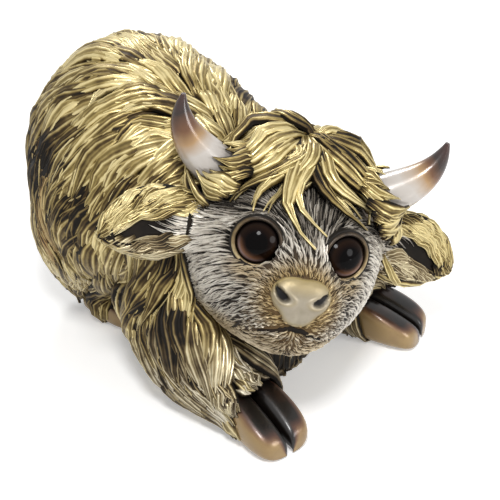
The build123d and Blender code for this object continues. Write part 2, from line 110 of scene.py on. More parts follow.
def attribute_node(tree, name):
    """The factor of a point attribute of the piece."""
    node = tree.nodes.new("ShaderNodeAttribute")
    node.attribute_name = name
    return node.outputs["Fac"]


def place_node(tree):
    """The piece's own coordinates, in metres."""
    return tree.nodes.new("ShaderNodeTexCoord").outputs["Object"]


def noise_node(tree, scale, detail=3.0):
    """Noise on the piece's own coordinates."""
    node = tree.nodes.new("ShaderNodeTexNoise")
    node.inputs["Scale"].default_value = scale
    node.inputs["Detail"].default_value = detail
    tree.links.new(place_node(tree), node.inputs["Vector"])
    return node.outputs["Fac"]


def mix_colours(tree, factor, first, second):
    """Two colours, sockets or tuples, mixed by a factor."""
    node = tree.nodes.new("ShaderNodeMix")
    node.data_type = "RGBA"
    for socket, value in ((node.inputs[0], factor), (node.inputs[6], first), (node.inputs[7], second)):
        if isinstance(value, (int, float)):
            socket.default_value = value
        elif isinstance(value, tuple):
            socket.default_value = (*value, 1)
        else:
            tree.links.new(value, socket)
    return node.outputs[2]


def weighted(tree, value, middle, weight):
    """How far a value lies from its middle, times a weight."""
    return math_node(tree, "MULTIPLY", math_node(tree, "SUBTRACT", value, middle), weight)


def mottled(tree, value, scale, weight, detail=3.0):
    """A value with noise about zero added to it."""
    return math_node(tree, "ADD", value, weighted(tree, noise_node(tree, scale, detail), 0.5, weight))


def paint(tree, body, colour):
    """A colour socket as the shader's base colour."""
    tree.links.new(colour, body.inputs["Base Color"])


def bump(tree, body, height, strength, distance):
    """Fine relief from a height, in millimetres of distance."""
    node = tree.nodes.new("ShaderNodeBump")
    node.inputs["Strength"].default_value = strength
    node.inputs["Distance"].default_value = distance * MM
    tree.links.new(height, node.inputs["Height"])
    tree.links.new(node.outputs["Normal"], body.inputs["Normal"])


COAT_ROUGHNESS = 0.06


def shader(name, roughness, metallic=0.0, coat=0.0, specular=0.5):
    """A principled material with its plain values set on its own sockets."""
    material = bpy.data.materials.new(name)
    material.use_nodes = True
    body = material.node_tree.nodes["Principled BSDF"]
    body.inputs["Roughness"].default_value = roughness
    body.inputs["Metallic"].default_value = metallic
    body.inputs["Coat Weight"].default_value = coat
    body.inputs["Coat Roughness"].default_value = COAT_ROUGHNESS
    body.inputs["Specular IOR Level"].default_value = specular
    return material, material.node_tree, body


HAIR_LEVELS = (0.08, 0.34, 0.68, 1.0)
STRAND_TURNS, STRAND_SLANT = 17.0, 4.0


def hair_material(name, colours, other_colours, metallic, patch):
    """Antiqued paint on combed hair, with painted shade and highlight: dark in the grooves, for the antique wash and
    painted shade there, paint on the strands, and pale along their crests as a painted highlight.

    The ridge attribute is 0 in a groove and 1 on a crest. Along runs from root to tip, painting the root darker as
    painted shade and the tip paler as painted light. Across runs from side to side, tone differs from lock to lock, and
    tint turns the first row of colours into the second. Broad patches are darker by the share in patch. Fine strands
    are a sine of across that slants as it runs along; the paint is darker between them as painted shade, and they bump
    the surface.
    """
    material, tree, body = shader(name, 0.36, metallic, specular=0.3)
    along = attribute_node(tree, "along")
    strands = math_node(tree, "SINE", math_node(
        tree, "ADD",
        math_node(tree, "MULTIPLY", attribute_node(tree, "across"), STRAND_TURNS),
        math_node(tree, "MULTIPLY", along, STRAND_SLANT),
    ))
    patches = ramp_node(tree, noise_node(tree, 55, 2.0), ((0.50, 0.0), (0.70, 1.0)))
    level = attribute_node(tree, "ridge")
    # Paint level: random patches, noise and tone, darker at the root as painted shade and paler at the tip as painted
    # light, and the fine strands' painted shade
    for value, middle, weight in (
        (patches, 0.0, -patch),
        (noise_node(tree, 170), 0.5, 0.60),
        (attribute_node(tree, "tone"), 0.5, 0.60),
        (along, 0.42, 0.50),
        (strands, 0.0, 0.16),
    ):
        level = math_node(tree, "ADD", level, weighted(tree, value, middle, weight))
    first = ramp_node(tree, level, tuple(zip(HAIR_LEVELS, colours)))
    second = ramp_node(tree, level, tuple(zip(HAIR_LEVELS, other_colours)))
    paint(tree, body, mix_colours(tree, attribute_node(tree, "tint"), first, second))
    tree.links.new(ramp_node(tree, level, ((0.1, 0.62), (0.8, 0.33))), body.inputs["Roughness"])
    bump(tree, body, strands, 0.55, 0.30)
    return material


def undercoat_material(name, dark, light):
    """The dark wash that shows between locks."""
    material, tree, body = shader(name, 0.7, specular=0.15)
    paint(tree, body, ramp_node(tree, noise_node(tree, 90), ((0.3, dark), (0.75, light))))
    return material


# Hair paints, each from the grooves to the crests: the darkest for the antique wash and painted shade in the grooves,
# the palest a painted highlight along the crests
GOLD = ((0.006, 0.004, 0.002), (0.070, 0.043, 0.014), (0.33, 0.245, 0.085), (0.72, 0.60, 0.30))
PALE_GOLD = ((0.008, 0.006, 0.004), (0.075, 0.052, 0.028), (0.28, 0.235, 0.160), (0.62, 0.57, 0.46))
SILVER = ((0.005, 0.004, 0.003), (0.070, 0.057, 0.043), (0.45, 0.40, 0.33), (0.92, 0.87, 0.78))
BRONZE = ((0.010, 0.006, 0.002), (0.080, 0.046, 0.016), (0.30, 0.195, 0.070), (0.60, 0.46, 0.24))
UMBER = ((0.006, 0.004, 0.002), (0.060, 0.040, 0.018), (0.23, 0.170, 0.085), (0.60, 0.52, 0.34))
RUSSET = ((0.004, 0.003, 0.002), (0.018, 0.011, 0.006), (0.11, 0.055, 0.019), (0.40, 0.25, 0.10))
gold_hair = hair_material("gold_hair", GOLD, PALE_GOLD, 0.45, 0.26)
tail_hair = hair_material("tail_hair", GOLD, RUSSET, 0.40, 0.30)
silver_hair = hair_material("silver_hair", SILVER, BRONZE, 0.35, 0.10)
undercoat = undercoat_material("undercoat", (0.012, 0.008, 0.004), (0.065, 0.043, 0.018))


MUZZLE = np.array((0.0, -20.0, 42.0))
MUZZLE_REACH = 30.0


def face_undercoat_material():
    """The head's wash: golden brown round the nose and on the chin, dark elsewhere, by the distance from the muzzle."""
    material, tree, body = shader("face_undercoat", 0.6, specular=0.2)
    apart = tree.nodes.new("ShaderNodeVectorMath")
    apart.operation = "DISTANCE"
    tree.links.new(place_node(tree), apart.inputs[0])
    apart.inputs[1].default_value = from_head(MUZZLE) * MM
    far = math_node(tree, "MULTIPLY", apart.outputs["Value"], 1 / (MUZZLE_REACH * MM))
    paint(tree, body, ramp_node(tree, mottled(tree, far, 160, 0.35), (
        (0.30, (0.105, 0.064, 0.025)), (0.55, (0.075, 0.045, 0.019)), (0.80, (0.022, 0.016, 0.011)),
        (1.0, (0.010, 0.008, 0.006)),
    )))
    return material


# Meshes: no corner lies lower than the ground gap, and a body's cell of the bake map has a margin round it
GROUND_GAP = 0.3
MAP_MARGIN, MAP_WIDTH, MAP_HEIGHT = 0.04, 0.92, 0.78
CAP_RADIUS = 0.06
FIRST_CAP, LAST_CAP = np.array((0.25, 0.92)), np.array((0.75, 0.92))


def finish_casting(node, material):
    """A casting's own finish in place of the frame's."""
    nodes[node].data.materials.clear()
    nodes[node].data.materials.append(material)


def closed_sections(name, points, material, attributes=None, wrap=False):
    """Closed bodies in one mesh, from sections of shape bodies, rows, around.

    Quads join each row to the next. The last row joins the first where the rows wrap, and otherwise a face
    closes each end. The whole is turned outward by the sign of its volume. The bake map gives each body a
    cell of a square grid: its rows up the cell, and its two end faces as small rounds along the cell's top.
    """
    count, rows, around = points.shape[:3]
    ring = np.arange(around)
    after = (ring + 1) % around
    level = np.arange(rows if wrap else rows - 1)[:, None]
    above = (level + 1) % rows
    quads = np.stack((level * around + ring, level * around + after, above * around + after, above * around + ring), -1)
    quads = quads.reshape(-1, 4)
    corner_u = np.stack((ring, ring + 1, ring + 1, ring), -1)[None] / around + 0 * level[..., None]
    corner_v = np.stack((level, level, level + 1, level + 1), -1) / len(level) + 0 * ring[None, :, None]
    quad_uv = np.stack((MAP_MARGIN + MAP_WIDTH * corner_u, MAP_MARGIN + MAP_HEIGHT * corner_v), -1).reshape(-1, 4, 2)
    turn = 2 * np.pi * ring / around
    round_uv = CAP_RADIUS * np.stack((np.cos(turn), np.sin(turn)), 1)
    caps = np.stack((ring[::-1], ring + (rows - 1) * around))
    cap_uv = np.stack((FIRST_CAP + round_uv[::-1], LAST_CAP + round_uv))
    if wrap:
        caps, cap_uv = caps[:0], cap_uv[:0]
    sample = points[0].reshape(-1, 3) - points[0].reshape(-1, 3).mean(0)
    a, b, c, d = (sample[quads[:, i]] for i in range(4))
    if ((a + b + c + d) * np.cross(c - a, d - b)).sum() < 0:
        quads, quad_uv, caps, cap_uv = quads[:, ::-1], quad_uv[:, ::-1], caps[:, ::-1], cap_uv[:, ::-1]
    base = np.arange(count)[:, None, None] * (rows * around)
    all_quads, all_caps = (quads[None] + base).reshape(-1, 4), (caps[None] + base).reshape(-1, around)
    grid = int(np.ceil(np.sqrt(count)))
    cell = np.stack((np.arange(count) % grid, np.arange(count) // grid), -1)[:, None, None]
    uv = np.concatenate((
        ((cell + quad_uv[None]) / grid).reshape(-1, 2),
        ((cell + cap_uv[None]) / grid).reshape(-1, 2),
    ))
    mesh = bpy.data.meshes.new(name)
    mesh.vertices.add(count * rows * around)
    flat = points.reshape(-1, 3).copy()
    flat[:, 2] = np.maximum(flat[:, 2], GROUND_GAP)
    mesh.vertices.foreach_set("co", (flat * MM).ravel())
    mesh.loops.add(all_quads.size + all_caps.size)
    mesh.loops.foreach_set("vertex_index", np.concatenate((all_quads.ravel(), all_caps.ravel())).astype(np.int32))
    mesh.polygons.add(len(all_quads) + len(all_caps))
    starts = np.concatenate((np.arange(len(all_quads)) * 4, all_quads.size + np.arange(len(all_caps)) * around))
    mesh.polygons.foreach_set("loop_start", starts.astype(np.int32))
    mesh.polygons.foreach_set("use_smooth", np.ones(len(starts), dtype=bool))
    mesh.update(calc_edges=True)
    mesh.uv_layers.new(name="OFBake").data.foreach_set("uv", uv.ravel().astype(np.float32))
    for label, values in (attributes or {}).items():
        layer = mesh.attributes.new(label, "FLOAT", "POINT")
        layer.data.foreach_set("value", np.ascontiguousarray(values).ravel().astype(np.float32))
    mesh.materials.append(material)
    item = bpy.data.objects.new(name, mesh)
    scene.collection.objects.link(item)
    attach(item, "root")
    return item


# Skin that the hair is combed over: the castings as one smooth surface

def mesh_arrays(mesh):
    """A mesh's corners in millimetres and its triangles."""
    mesh.calc_loop_triangles()
    points = np.empty(len(mesh.vertices) * 3)
    mesh.vertices.foreach_get("co", points)
    triangles = np.empty(len(mesh.loop_triangles) * 3, dtype=int)
    mesh.loop_triangles.foreach_get("vertices", triangles)
    return points.reshape(-1, 3) / MM, triangles.reshape(-1, 3)


def node_arrays(name):
    """A casting's corners in millimetres and its triangles."""
    return mesh_arrays(nodes[name].data)


def evaluated_points(item):
    """An object's corners in millimetres after its modifiers."""
    mesh = item.evaluated_get(bpy.context.evaluated_depsgraph_get()).data
    points = np.empty(len(mesh.vertices) * 3)
    mesh.vertices.foreach_get("co", points)
    return points.reshape(-1, 3) / MM


def helper(name, points, faces=np.empty((0, 3), dtype=int)):
    """A working mesh of corners and faces."""
    mesh = bpy.data.meshes.new(name)
    mesh.from_pydata((points * MM).tolist(), [], faces.tolist())
    item = bpy.data.objects.new(name, mesh)
    scene.collection.objects.link(item)
    return item


LEGS = ("right_foreleg", "left_foreleg", "right_hind_leg", "left_hind_leg")
EARS = ("right_ear", "left_ear")
HOOVES = ("right_fore_hoof", "left_fore_hoof", "right_hind_hoof", "left_hind_hoof")
HAIRY = ("torso_shell", "head_shell", "tail", *LEGS, *EARS)
SKIN_VOXEL = 1.6
SKIN_SMOOTHING = 24


def hull_arrays(name):
    """The corners and triangles of a casting with its convex hull, which bridges its hollows."""
    shape = bmesh.new()
    shape.from_mesh(nodes[name].data)
    bmesh.ops.convex_hull(shape, input=shape.verts)
    mesh = bpy.data.meshes.new("hull")
    shape.to_mesh(mesh)
    shape.free()
    arrays = mesh_arrays(mesh)
    bpy.data.meshes.remove(mesh)
    return arrays


def make_skin():
    """The hairy castings and the hooves' hulls joined, remeshed on a grid and relaxed."""
    points, triangles, start = [], [], 0
    for name in (*HAIRY, *HOOVES):
        corners, faces = hull_arrays(name) if name in HOOVES else node_arrays(name)
        points.append(corners)
        triangles.append(faces + start)
        start += len(corners)
    item = helper("skin", np.concatenate(points), np.concatenate(triangles))
    remesh = item.modifiers.new("one surface", "REMESH")
    remesh.mode = "VOXEL"
    remesh.voxel_size = SKIN_VOXEL * MM
    relax = item.modifiers.new("relax", "SMOOTH")
    relax.iterations = SKIN_SMOOTHING
    made = bpy.data.meshes.new_from_object(item.evaluated_get(bpy.context.evaluated_depsgraph_get()))
    made.polygons.foreach_set("use_smooth", np.ones(len(made.polygons), dtype=bool))
    item.modifiers.clear()
    item.data = made
    return item


skin = make_skin()


def on_skin(points, lift=0.0):
    """The nearest places on the skin, lifted along its normals."""
    probe = helper("probe", points.reshape(-1, 3))
    wrap = probe.modifiers.new("wrap", "SHRINKWRAP")
    wrap.target = skin
    wrap.wrap_method = "NEAREST_SURFACEPOINT"
    wrap.wrap_mode = "ABOVE_SURFACE"
    wrap.offset = lift * MM
    found = evaluated_points(probe)
    mesh = probe.data
    bpy.data.objects.remove(probe)
    bpy.data.meshes.remove(mesh)
    return found.reshape(points.shape)


def skin_normals(points):
    """The skin's outward normals at places on it."""
    return unit(on_skin(points, 1.0) - on_skin(points))


# Comb: listed strokes on the calf's left side, each a place and the way that the hair lies there
BODY_STROKES = np.array((
    (4, 84, 132, 0.55, 0.75, 0.05),
    (6, 50, 126, 0.55, 0.80, -0.10),
    (8, 20, 108, 0.60, 0.75, -0.20),
    (10, 2, 96, 0.70, 0.60, -0.25),
    (30, 84, 118, 0.45, 0.65, -0.60),
    (32, 50, 112, 0.45, 0.65, -0.60),
    (34, 22, 96, 0.45, 0.50, -0.70),
    (44, 78, 88, 0.10, 0.62, -0.78),
    (46, 46, 80, 0.10, 0.62, -0.78),
    (44, 20, 68, 0.10, 0.35, -0.90),
    (46, 72, 52, -0.05, 0.52, -0.85),
    (46, 44, 44, -0.05, 0.45, -0.88),
    (48, 18, 42, 0.05, -0.30, -0.92),
    (12, 104, 112, 0.35, 0.45, -0.80),
    (26, 106, 88, 0.25, 0.10, -0.95),
    (24, 104, 60, -0.05, 0.02, -1.00),
    (44, 84, 52, -0.10, 0.45, -0.88),
    (32, 96, 28, -0.20, 0.10, -1.00),
    (24, 84, 20, -0.20, -0.10, -1.00),
    (54, 6, 30, 0.12, -0.60, -0.78),
    (52, -8, 22, 0.10, -0.82, -0.55),
    (48, -20, 16, 0.10, -0.94, -0.32),
    (36, -4, 34, -0.10, -0.75, -0.65),
    (30, -14, 14, -0.10, -0.90, -0.40),
    (12, -16, 30, 0.10, -0.30, -0.95),
    (14, -10, 10, 0.15, -0.50, -0.80),
    (20, 50, 18, 0.20, 0.60, -0.60),
    (10, 112, 70, -0.10, 0.05, -1.00),
))
STROKE_REACH = 17.0


def both_sides(strokes):
    """The strokes and their mirror images on the calf's right."""
    return np.concatenate((strokes, strokes * np.array((-1, 1, 1, -1, 1, 1))))


def combed(points, strokes, reach):
    """The way of the hair: the strokes' ways weighted by a bell curve of their distance."""
    apart = ((points[:, None] - strokes[None, :, :3]) ** 2).sum(-1)
    weight = np.exp(-(apart - apart.min(1, keepdims=True)) / (2 * reach**2))
    return unit(weight @ strokes[:, 3:])


body_strokes = both_sides(BODY_STROKES)


def body_comb(points):
    """The comb of the torso, legs and tail."""
    return combed(points, body_strokes, STROKE_REACH)


# Hair
# The paint's level at a lock's edges: painted shade between locks
EDGE_LEVEL = 0.10
KEEL = np.array(((0.0, -0.8, 0.0),))
TRIES_PER_CELL = 14
SNAP_REACH = 3.0
SWAY_RUN = np.array((0.085, 0.050, -0.095))
SWAY_TURN = 5.0
SIZE_SPREAD = 0.25
# The last share darkens a tuft's edge as painted shade between tufts
TUFT_PULL, TUFT_STAND, TUFT_EDGE_SHADE = 0.60, 0.07, 0.26


def profile(ridges, groove, wash):
    """A lock's cross-section: crests on its crown, grooves at a share of their height, and a keel below.

    Its columns are across, up and the paint's level, which is 1 on a crest, a painted highlight, a given share in a
    groove for the antique wash and painted shade there, low at the edges as painted shade between locks, and 0 on the
    keel.
    """
    steps = np.arange(2 * ridges + 1)
    across = np.linspace(-1, 1, len(steps))
    crest = steps % 2
    dome = 1 - 0.55 * across**2
    up = np.where(crest == 1, dome, groove * dome)
    level = np.where(crest == 1, 1.0, wash)
    up[[0, -1]] = 0.0
    level[[0, -1]] = EDGE_LEVEL
    rows = np.stack((across, up, level), 1)
    return np.concatenate((rows, KEEL))


def scatter(names, spacing, seed, keep):
    """Seeded places on castings, at most one to a cell of the spacing, that lie on the skin and that keep allows."""
    chance = np.random.default_rng(seed)
    found = []
    for name in names:
        corners, faces = node_arrays(name)
        a, b, c = (corners[faces[:, i]] for i in range(3))
        area = np.linalg.norm(np.cross(b - a, c - a), axis=1) / 2
        count = int(area.sum() / spacing**2 * TRIES_PER_CELL)
        pick = chance.choice(len(faces), count, p=area / area.sum())
        u, v = chance.random((2, count, 1))
        turn = u + v > 1
        u, v = np.where(turn, 1 - u, u), np.where(turn, 1 - v, v)
        found.append(a[pick] + u * (b - a)[pick] + v * (c - a)[pick])
    points = np.concatenate(found)
    points = points[chance.permutation(len(points))]
    snapped = on_skin(points)
    near = np.linalg.norm(snapped - points, axis=1) < SNAP_REACH
    points = snapped[near]
    points = points[keep(points, skin_normals(points))]
    cells = np.floor(points / spacing + 0.5).astype(int)
    _, first = np.unique(cells, axis=0, return_index=True)
    return points[np.sort(first)]


def eased(path):
    """Paths with each inner place drawn towards the middle of its neighbours, twice."""
    for _ in range(2):
        path[:, 1:-1] = (path[:, :-2] + 2 * path[:, 1:-1] + path[:, 2:]) / 4
    return path


def grow_paths(roots, comb, lengths, rings, sway, hook, seed):
    """Paths of locks: steps along the comb, kept on the skin, with a slow sway that neighbours share.

    The hook turns a lock a little up at its root and down towards its tip, so that it lies in an arc.
    """
    chance = np.random.default_rng(seed)
    phase = roots @ SWAY_RUN + chance.normal(0, 0.3, len(roots))
    turn = chance.normal(0, 0.05, len(roots))
    path = [roots]
    for step in range(1, rings):
        here = path[-1]
        normal = skin_normals(here)
        way = comb(here)
        way = unit(way - normal * (way * normal).sum(1, keepdims=True))
        side = np.cross(normal, way)
        fall = hook * (step / rings - 0.2) * np.tanh(4 * side[:, 2])
        bend = turn + sway * np.sin(phase + SWAY_TURN * step / rings) - fall
        way = unit(way + side * bend[:, None])
        path.append(on_skin(here + way * (lengths / (rings - 1))[:, None]))
    return eased(np.stack(path, 1))


def gathered(path, size, share):
    """Paths drawn towards the path of their tuft's leader as they go, and how far each starts from it.

    Leaders are one root to a cell of the size, each root follows the nearest of them, and the distance is 0 at
    the leader and 1 at the tuft's edge.
    """
    roots = path[:, 0]
    _, first = np.unique(np.floor(roots / size).astype(int), axis=0, return_index=True)
    apart = np.linalg.norm(roots[:, None] - roots[first][None], axis=-1)
    leader = first[apart.argmin(1)]
    pull = share * np.linspace(0, 1, path.shape[1])[None, :, None] ** 1.2
    return eased(on_skin(path + (path[leader] - path) * pull)), np.clip(apart.min(1) / (0.6 * size), 0, 1)


def sweep_locks(path, normals, half_width, height, section, arch, lift, tip_lift, wave, seed):
    """Locks as their section carried along their paths, with the attributes of their paint.

    A lock is narrow at its sunk root, widest in its middle and pointed at its tip, which rises off the skin. The
    arch stands its middle off the skin by a half wave. The wave moves the lock from side to side, and its crests
    lean with it, so that strands twist along the lock.
    """
    chance = np.random.default_rng(seed)
    count, rings = path.shape[:2]
    u = np.linspace(0, 1, rings)[None, :]
    way = unit(np.gradient(path, axis=1))
    side = unit(np.cross(normals, way))
    phase = chance.random((count, 1)) * 2 * np.pi
    wide = half_width[:, None] * (0.50 + 0.50 * smooth(0, 0.35, u)) * (1 - 0.94 * smooth(0.46, 1.0, u))
    tall = height[:, None] * (0.55 + 0.45 * smooth(0, 0.3, u)) * (1 - 0.72 * smooth(0.45, 1.0, u))
    rise = lift * (smooth(0, 0.3, u) * 1.3 - 0.3) + tip_lift * u**2.2
    rise = rise + arch[:, None] * np.sin(np.pi * np.clip(0.12 + 0.88 * u, 0, 1)) ** 0.8
    slide = wave * np.sin(2 * np.pi * u * 1.1 + phase) * smooth(0.1, 0.5, u)
    centre = path + normals * rise[..., None] + side * slide[..., None]
    across, up, crest = section.T
    skew = 0.22 * np.sin(2 * np.pi * u * 0.9 + phase)[..., None] * (1 - across**2)
    points = (
        centre[:, :, None]
        + side[:, :, None] * ((across + skew) * wide[..., None])[..., None]
        + normals[:, :, None] * (up * tall[..., None])[..., None]
    )
    # Ridges are dulled near the sunk root: painted shade under the locks that lie over it
    root_shade = (0.35 + 0.65 * smooth(0.0, 0.15, u)) * np.ones((count, 1))
    ridge = crest[None, None] * root_shade[..., None] * np.ones((count, rings, 1))
    along = np.broadcast_to(u[..., None], ridge.shape)
    tone = np.broadcast_to(chance.random((count, 1, 1)), ridge.shape)
    return points, {"ridge": ridge, "along": along, "tone": tone, "across": np.broadcast_to(across, ridge.shape)}


LOCK = profile(3, 0.74, 0.56)
BROAD_LOCK = profile(4, 0.76, 0.56)
CURL = profile(3, 0.72, 0.46)
STRAND = profile(1, 0.5, 0.0)


def anywhere(points, normals):
    """Every place."""
    return np.ones(len(points), dtype=bool)


def even(points):
    """No arch, tint or darkening."""
    return np.zeros(len(points))


def hair(name, names, material, comb, spacing, length, half_width, height, seed, keep=anywhere, tint=even,
         arch=even, section=LOCK, rings=8, lift=0.5, tip_lift=1.2, wave=0.7, sway=0.22, hook=0.0, mottle=0.0,
         wash=even, tuft=0.0):
    """One coat of locks over castings, with sizes spread by a quarter either way.

    Length is a number or, as keep, tint, arch and the darkening are, a function of places. The mottle spreads the tint
    from lock to lock, and the darkening lowers their tone, for painted shade and light and for dark patches. Where a
    tuft's size is given, locks gather into tufts that stand higher in their middle than at their edge, which is painted
    darker as shade.
    """
    chance = np.random.default_rng(seed + 1)
    roots = scatter(names, spacing, seed, keep)
    spread = chance.uniform(1 - SIZE_SPREAD, 1 + SIZE_SPREAD, (3, len(roots)))
    reach = length(roots) if callable(length) else length
    path = grow_paths(roots, comb, reach * spread[0], rings, sway, hook, seed + 2)
    edge, stand = even(roots), arch(roots)
    if tuft:
        path, edge = gathered(path, tuft, TUFT_PULL)
        stand = stand + TUFT_STAND * tuft * (1 - edge)
    points, attributes = sweep_locks(
        path, unit(eased(skin_normals(path))), half_width * spread[1], height * spread[2], section, stand, lift,
        tip_lift, wave, seed + 3,
    )
    shade = tint(path.reshape(-1, 3)).reshape(path.shape[:2])
    shade = np.clip(shade + mottle * chance.uniform(-1, 1, (len(roots), 1)), 0, 1)
    attributes["tint"] = np.broadcast_to(shade[..., None], points.shape[:3])
    # Painted shade: the tone darkened by the given darkening and at the tufts' edges
    darkening = wash(path.reshape(-1, 3)).reshape(path.shape[:2]) + TUFT_EDGE_SHADE * edge[:, None]
    attributes["tone"] = attributes["tone"] - darkening[..., None]
    closed_sections(name, points, material, attributes)


# Body coat
TORSO_AXIS_Z = 66.0
RUMP_PATCH, RUMP_PATCH_REACH = np.array((-43.0, 88.0, 90.0)), np.array((15.0, 11.0, 20.0))
PARTING_HALF, PARTING_LOW, PARTING_END = 11, 88, 96
FORE_CORONET, HIND_CORONET = -37.0, 7.0


def outside_torso(points, normals):
    """Places whose normal turns away from the torso's middle, so that its hollow is left bare."""
    middle = np.stack((np.zeros(len(points)), points[:, 1] * 0.8 + 8, np.full(len(points), TORSO_AXIS_Z)), 1)
    return ((points - middle) * normals).sum(1) > 0


def clear_of_ground(points, normals):
    """Places that don't face the ground close above it."""
    return (points[:, 2] > 9) | (normals[:, 2] > -0.3)


def chest_tint(points):
    """Pale gold low on the chest and forelegs."""
    return smooth(52, 26, points[:, 2]) * smooth(34, 6, points[:, 1]) * 0.6


def low_wash(points):
    """Painted shade down the flanks, the shoulders and the insides of the legs, darker low down."""
    inside = smooth(46, 20, np.abs(points[:, 0]) + 0.25 * points[:, 2])
    return 0.55 * smooth(92, 40, points[:, 2]) * inside + 0.30 * smooth(122, 66, points[:, 2])


def rump_patch(points):
    """1 in the middle of the dark patch on the right of the rump, falling to 0 round it."""
    return np.exp(-(((points - RUMP_PATCH) / RUMP_PATCH_REACH) ** 2).sum(1))


def torso_wash(points):
    """Painted shade low down and at mid height, the dark patch on the rump, and painted light along the top of the
    back.
    """
    high = points[:, 2]
    # Darker at mid height and paler along the top of the back: painted shade and painted light
    back = 0.16 * smooth(62, 90, high) - 0.26 * smooth(96, 122, high)
    return low_wash(points) + 1.1 * rump_patch(points) + back


def rump_tint(points):
    """Russet down the tail, darkest in its middle."""
    return smooth(112, 96, points[:, 2]) * (1 - 0.5 * smooth(58, 44, points[:, 2]))


hair(
    "torso_coat", ["torso_shell"], gold_hair, body_comb, 7.2, 52, 5.4, 3.4, 11,
    keep=lambda p, n: outside_torso(p, n) & clear_of_ground(p, n), tint=chest_tint,
    section=LOCK, rings=10, lift=1.5, tip_lift=1.0, sway=0.30, hook=1.7, wave=0.6, mottle=0.12, wash=torso_wash,
    tuft=17.0,
)


def on_parting(points, normals):
    """The band along the middle of the back, from the withers to the rump."""
    middle = np.abs(points[:, 0]) < PARTING_HALF
    return outside_torso(points, normals) & middle & (points[:, 2] > PARTING_LOW) & (points[:, 1] < PARTING_END)


hair(
    "parting_locks", ["torso_shell"], gold_hair, body_comb, 5.6, 32, 4.2, 2.6, 15, keep=on_parting, rings=9,
    lift=1.8, tip_lift=1.2, sway=0.34, mottle=0.12, wash=torso_wash,
)


def side_fall(points):
    """Straight down, drawn a little forward."""
    return np.broadcast_to(unit(np.array((0.10, -0.25, -0.95))), points.shape)


hair(
    "rump_locks", ["torso_shell", "right_hind_leg"], tail_hair, side_fall, 5.4, 32, 2.6, 2.2, 35,
    keep=lambda p, n: outside_torso(p, n) & (rump_patch(p) > 0.3), tint=lambda p: np.full(len(p), 0.7), rings=9,
    lift=2.6, tip_lift=0.8, sway=0.30, mottle=0.5,
)


def leg_reach(roots):
    """How far a root lies from the line on the hoof where the hair ends."""
    return np.where(roots[:, 1] < 40, roots[:, 1] - FORE_CORONET, roots[:, 2] - HIND_CORONET)


def leg_length(roots):
    """Long locks down the leg that end over the hoof's top."""
    return np.clip(leg_reach(roots), 10, 42)


hair(
    "leg_coat", LEGS, gold_hair, body_comb, 5.8, leg_length, 3.6, 2.6, 21,
    keep=lambda p, n: clear_of_ground(p, n) & (leg_reach(p) > 9), tint=chest_tint, sway=0.30, hook=0.5,
    mottle=0.35, wash=torso_wash, tuft=12.0,
)
hair("tail_coat", ["tail"], tail_hair, body_comb, 4.4, 28, 2.4, 1.9, 31, tint=rump_tint)

# Head hair, combed in the head's own frame: outward from the crown, and from the muzzle and brow to the cheeks
CROWN = np.array((-2.0, 46.0, 0.0))
HORN_SEATS = np.array(((35.0, 27.0, 8.0), (-35.0, 27.0, 8.0)))
HORN_CLEAR = 8.5
FORELOCK_REACH = 38.0
SKULL_HALVES = np.array((43.0, 42.0, 46.0))
FORELOCK_SWAY = 13.0
FORELOCK_RINGS, RUFF_RINGS = 12, 7


def crown_comb(points):
    """Away from the crown in every direction, drawn a little down."""
    return unit(to_head(points) - CROWN + np.array((0.0, -5.0, 0.0))) @ HEAD_AXES


def off_horns(local):
    """Places of the head clear of the horns' roots."""
    return (np.linalg.norm(local[:, None] - HORN_SEATS[None], axis=-1) > HORN_CLEAR).all(1)


def near_crown(points):
    """1 at the crown, falling to 0 at the forelock's reach."""
    return np.clip(1 - np.linalg.norm(to_head(points) - CROWN, axis=1) / FORELOCK_REACH, 0, 1)


def under_forelock(points, normals):
    """The top of the skull, from the brow to behind the crown."""
    local = to_head(points)
    return (near_crown(points) > 0) & (local[:, 2] > -22) & (local[:, 1] > 20) & off_horns(local)


def behind_face(points, normals):
    """The back and sides of the head."""
    local = to_head(points)
    outward = (local * (normals @ HEAD_AXES.T)).sum(1) > 0
    jaw = (local[:, 1] < -14) & (local[:, 2] > -22)
    by_ear = (local[:, 1] < 13) & (local[:, 2] > -9)
    return outward & (local[:, 2] < 2) & off_horns(local) & ~under_forelock(points, normals) & ~jaw & ~by_ear


def mane_length(roots):
    """Long locks that are short above the ears, so that these stay clear."""
    local = to_head(roots)
    return 36 - 22 * smooth(-22, -8, local[:, 2]) * smooth(22, 30, np.abs(local[:, 0]))


def by_horns(points):
    """How far the mane stands off the skull, heaped up round the horns."""
    apart = np.linalg.norm(to_head(points)[:, None] - HORN_SEATS[None], axis=-1).min(1)
    return 1.2 + 6.0 * np.exp(-((apart / 17.0) ** 2))


def skull_path(turn, fall, curl, start, rings):
    """Paths over the skull: each runs down from near the crown by its fall, at a turn from the front that curls
    away as it goes, first a little against the curl, and sways by a wave that neighbours share. Angles are in
    degrees from the skull's middle."""
    u = np.linspace(0, 1, rings)
    down = np.radians(start[:, None] + (fall - start)[:, None] * u)
    sway = FORELOCK_SWAY * u * np.sin(2 * np.pi * 1.15 * u + np.radians(2.5 * turn[:, None]))
    bend = np.radians(turn[:, None] + curl[:, None] * (1.5 * u**2 - 0.5 * np.sin(np.pi * u)) + sway)
    way = np.stack((np.sin(down) * np.sin(bend), np.cos(down), np.sin(down) * np.cos(bend)), -1)
    return eased(on_skin(from_head(way * SKULL_HALVES)))


# Layers of the forelock: count, turns from and to, fall, its spread, stand off the skull, half width
FORELOCK_LAYERS = (
    (30, -125, 125, 54, 6, 2.6, 3.4),
    (28, -112, 112, 55, 9, 5.2, 3.2),
    (20, -100, 100, 48, 10, 7.4, 3.2),
    (20, 95, 265, 56, 10, 3.6, 3.8),
    (10, 100, 260, 40, 8, 6.0, 3.8),
)
